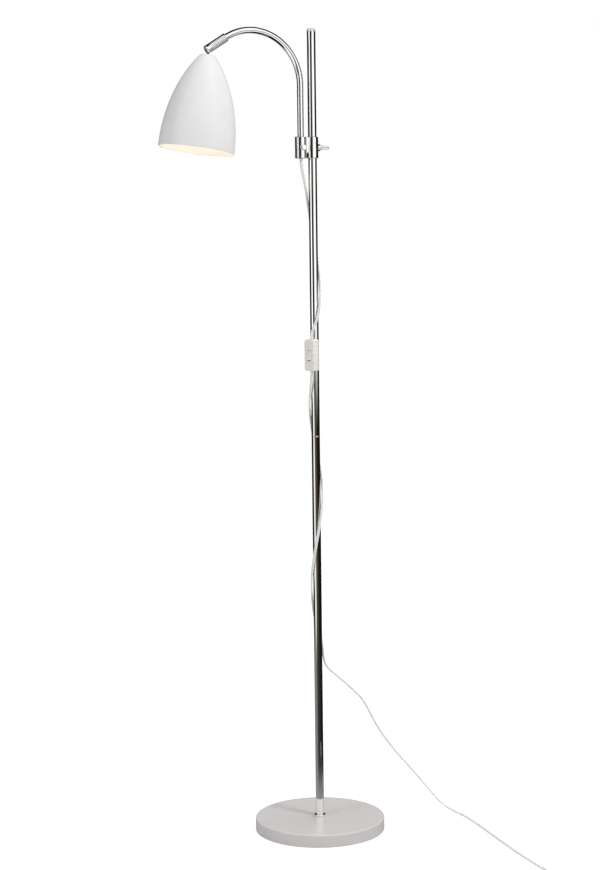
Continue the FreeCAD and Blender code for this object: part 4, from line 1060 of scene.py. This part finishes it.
lower_route = [switch_foot, (*at_switch, 0.885), (-0.0114, -0.005, 0.860)]
lower_route += [on_pole(angle, height) for angle, height in (
    (-203, 832), (-232, 805), (-261, 777), (-291, 749), (-321, 721), (-352, 692),
    (-383, 662), (-413, 632), (-442, 602), (-471, 572), (-500, 542), (-529, 512),
    (-557, 483), (-584, 455), (-611, 428), (-643, 404), (-676, 382), (-700, 360))]
lower_route += [
    (0.0117, 0.0006, 0.337), (0.0155, 0.0, 0.322), (0.0265, 0.0005, 0.309),
    (0.046, 0.0025, 0.293), (0.074, 0.006, 0.268), (0.099, 0.009, 0.244),
    (0.1155, 0.0105, 0.216), (0.130, 0.012, 0.189), (0.149, 0.013, 0.160),
    (0.173, 0.0125, 0.129), (0.203, 0.010, 0.094), (0.231, 0.007, 0.061),
    (0.253, 0.002, 0.031), (0.270, -0.009, 0.011), (0.281, -0.030, 0.0026),
    (0.285, -0.062, 0.0020), (0.282, -0.108, 0.0020), (0.274, -0.172, 0.0020),
    (0.264, -0.246, 0.0020), (0.255, -0.322, 0.0020), (0.2496, -0.392, 0.0022),
    (0.2476, -0.446, 0.0032), (0.248, -0.486, 0.0040), (0.248, -0.520, 0.0040)]
lower_route += [coil_point(k / points_a_turn)
                for k in range(int(coil_turns * points_a_turn) + 1)]
lower_route.append(plug_entry)
lower_line = laid_line(lower_route)


def down_to_coil(place, heading):
    """Away from the pole, then up on the floor, then out from the coil's middle."""
    off_pole = min(max((math.hypot(place.x, place.y) - 0.013) / 0.05, 0), 1)
    wound = Vector((place.x, place.y, 0)).normalized() * (1 - off_pole)
    edge = min(max((-place.y - 0.38) / 0.12, 0), 1)
    edge = edge * edge * (3 - 2 * edge)
    outward_way = Vector((place.x - coil_centre.x, place.y - coil_centre.y, 0)).normalized()
    if place.y > -0.52:
        outward_way = Vector((1 if place.x > coil_centre.x else -1, 0, 0))
    return wound + Vector((0, 0, 1)) * off_pole * (1 - edge) + outward_way * edge


lower_cord = cord_piece("cord_to_plug", lower_line, down_to_coil, "cord_lower", "cord_coil")
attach(lower_cord, "stand")

lead_r = bend_r + 0.9
lead_line = laid_line([(arm_x / 1000, 0, high) for high in (1.291, 1.350, 1.410)] + [
    ((arm_x - bend_r + lead_r * math.cos(math.radians(a))) / 1000, 0,
     (bend_start_z + lead_r * math.sin(math.radians(a))) / 1000)
    for a in range(6, 121, 14)] + [tuple((bend_end + neck_dir * 15.0) / 1000)])
fitted(flat_cord("lead_in_arm", lead_line, lambda place, heading: Vector((0, 1, 0))),
       vinyl, "arm", "cord_vinyl", "arm_lead", sharp=50)

# -------------------------------------------------------------------------- plug
# A moulded plug with a ringed, tapered strain relief and finger ridges, lying on the coil.
# Its two flat blades are plated metal.
plug_start = Vector((169.4, -520.0, 10.3))


def lofted(name, sections, around=64):
    """Closed mesh through rounded sections: (height, half width, half depth, power)."""
    shape = bmesh.new()
    rings = []
    for high, wide, deep, power in sections:
        ring = []
        for k in range(around):
            turn = 2 * math.pi * k / around
            c, s = math.cos(turn), math.sin(turn)
            ring.append(shape.verts.new((math.copysign(abs(c) ** (2 / power), c) * wide,
                                         math.copysign(abs(s) ** (2 / power), s) * deep, high)))
        rings.append(ring)
    bridge(shape, rings)
    return closed(name, shape)


grip = lofted("grip", [
    (19.5, 5.9, 5.9, 2.0), (20.6, 7.0, 6.6, 2.2), (21.4, 9.0, 8.0, 2.8), (22.6, 10.9, 9.1, 3.4),
    (24.6, 12.0, 9.8, 4.0), (28.0, 12.2, 9.9, 4.4), (34.0, 11.8, 9.7, 4.6),
    (40.0, 11.9, 9.7, 4.6), (45.0, 12.3, 9.9, 4.8), (47.6, 12.2, 9.8, 4.8),
    (48.6, 11.6, 9.3, 4.6), (49.0, 10.8, 8.6, 4.4)])
relief_cone = turned("relief", [
    (0, 0.0), (3.4, 0.0, 0.5), (6.0, 21.0), (6.0, 23.0), (0, 23.0)], around=64)
notches = grown("rings", ring_row, rings=6, pitch=3.0 * MM, radius=3.7 * MM, proud=0.6 * MM,
                half_width=0.9 * MM, growth=0.098, metal=vinyl)
shifted(notches, 0, 2.6)
finger, given, node, calc = shape_tree(
    "finger_ridges", ["Ridges"], ["Pitch", "Length", "Thickness", "Apart"], "Plastic")
pitch = node("ShaderNodeCombineXYZ", {"Z": given["Pitch"]})
half_apart = node("ShaderNodeCombineXYZ", {"X": given["Apart"]})
reach = calc("MULTIPLY", given["Length"], 0.5)
from_end = node("ShaderNodeCombineXYZ", {"Y": calc("MULTIPLY", reach, -1.0)})
to_end = node("ShaderNodeCombineXYZ", {"Y": reach})
bar = tapered_bar(node, calc, {"Start": from_end, "End": to_end}, 4.0, 12, given["Thickness"])
row = node("GeometryNodeMeshLine", {"Count": given["Ridges"], "Offset": pitch})
row = node("GeometryNodeInstanceOnPoints", {"Points": row, "Instance": bar})
other_way = node("ShaderNodeVectorMath", {0: half_apart, 1: (-1, 0, 0)}, operation="MULTIPLY")
both_sides = node("GeometryNodeJoinGeometry")
for shift in (half_apart, other_way):
    side = node("GeometryNodeTransform", {"Geometry": row, "Translation": shift})
    finger.links.new(side.outputs[0], both_sides.inputs[0])
close_tree(finger, both_sides, given["Plastic"])
ridges = grown("ridges", finger, ridges=5, pitch=3.2 * MM, length=12.5 * MM,
               thickness=0.6 * MM, apart=11.75 * MM, plastic=vinyl)
shifted(ridges, 0, 30.0)
plug = placed(joined("plug_moulding", [grip, relief_cone, notches, ridges]), plug_start,
              (0, 1, 0), rightwards)
plug = fitted(plug, switch_plastic, "stand", "switch_plastic", "plug_body", sharp=50)
keep(alloy, "plug_blades")
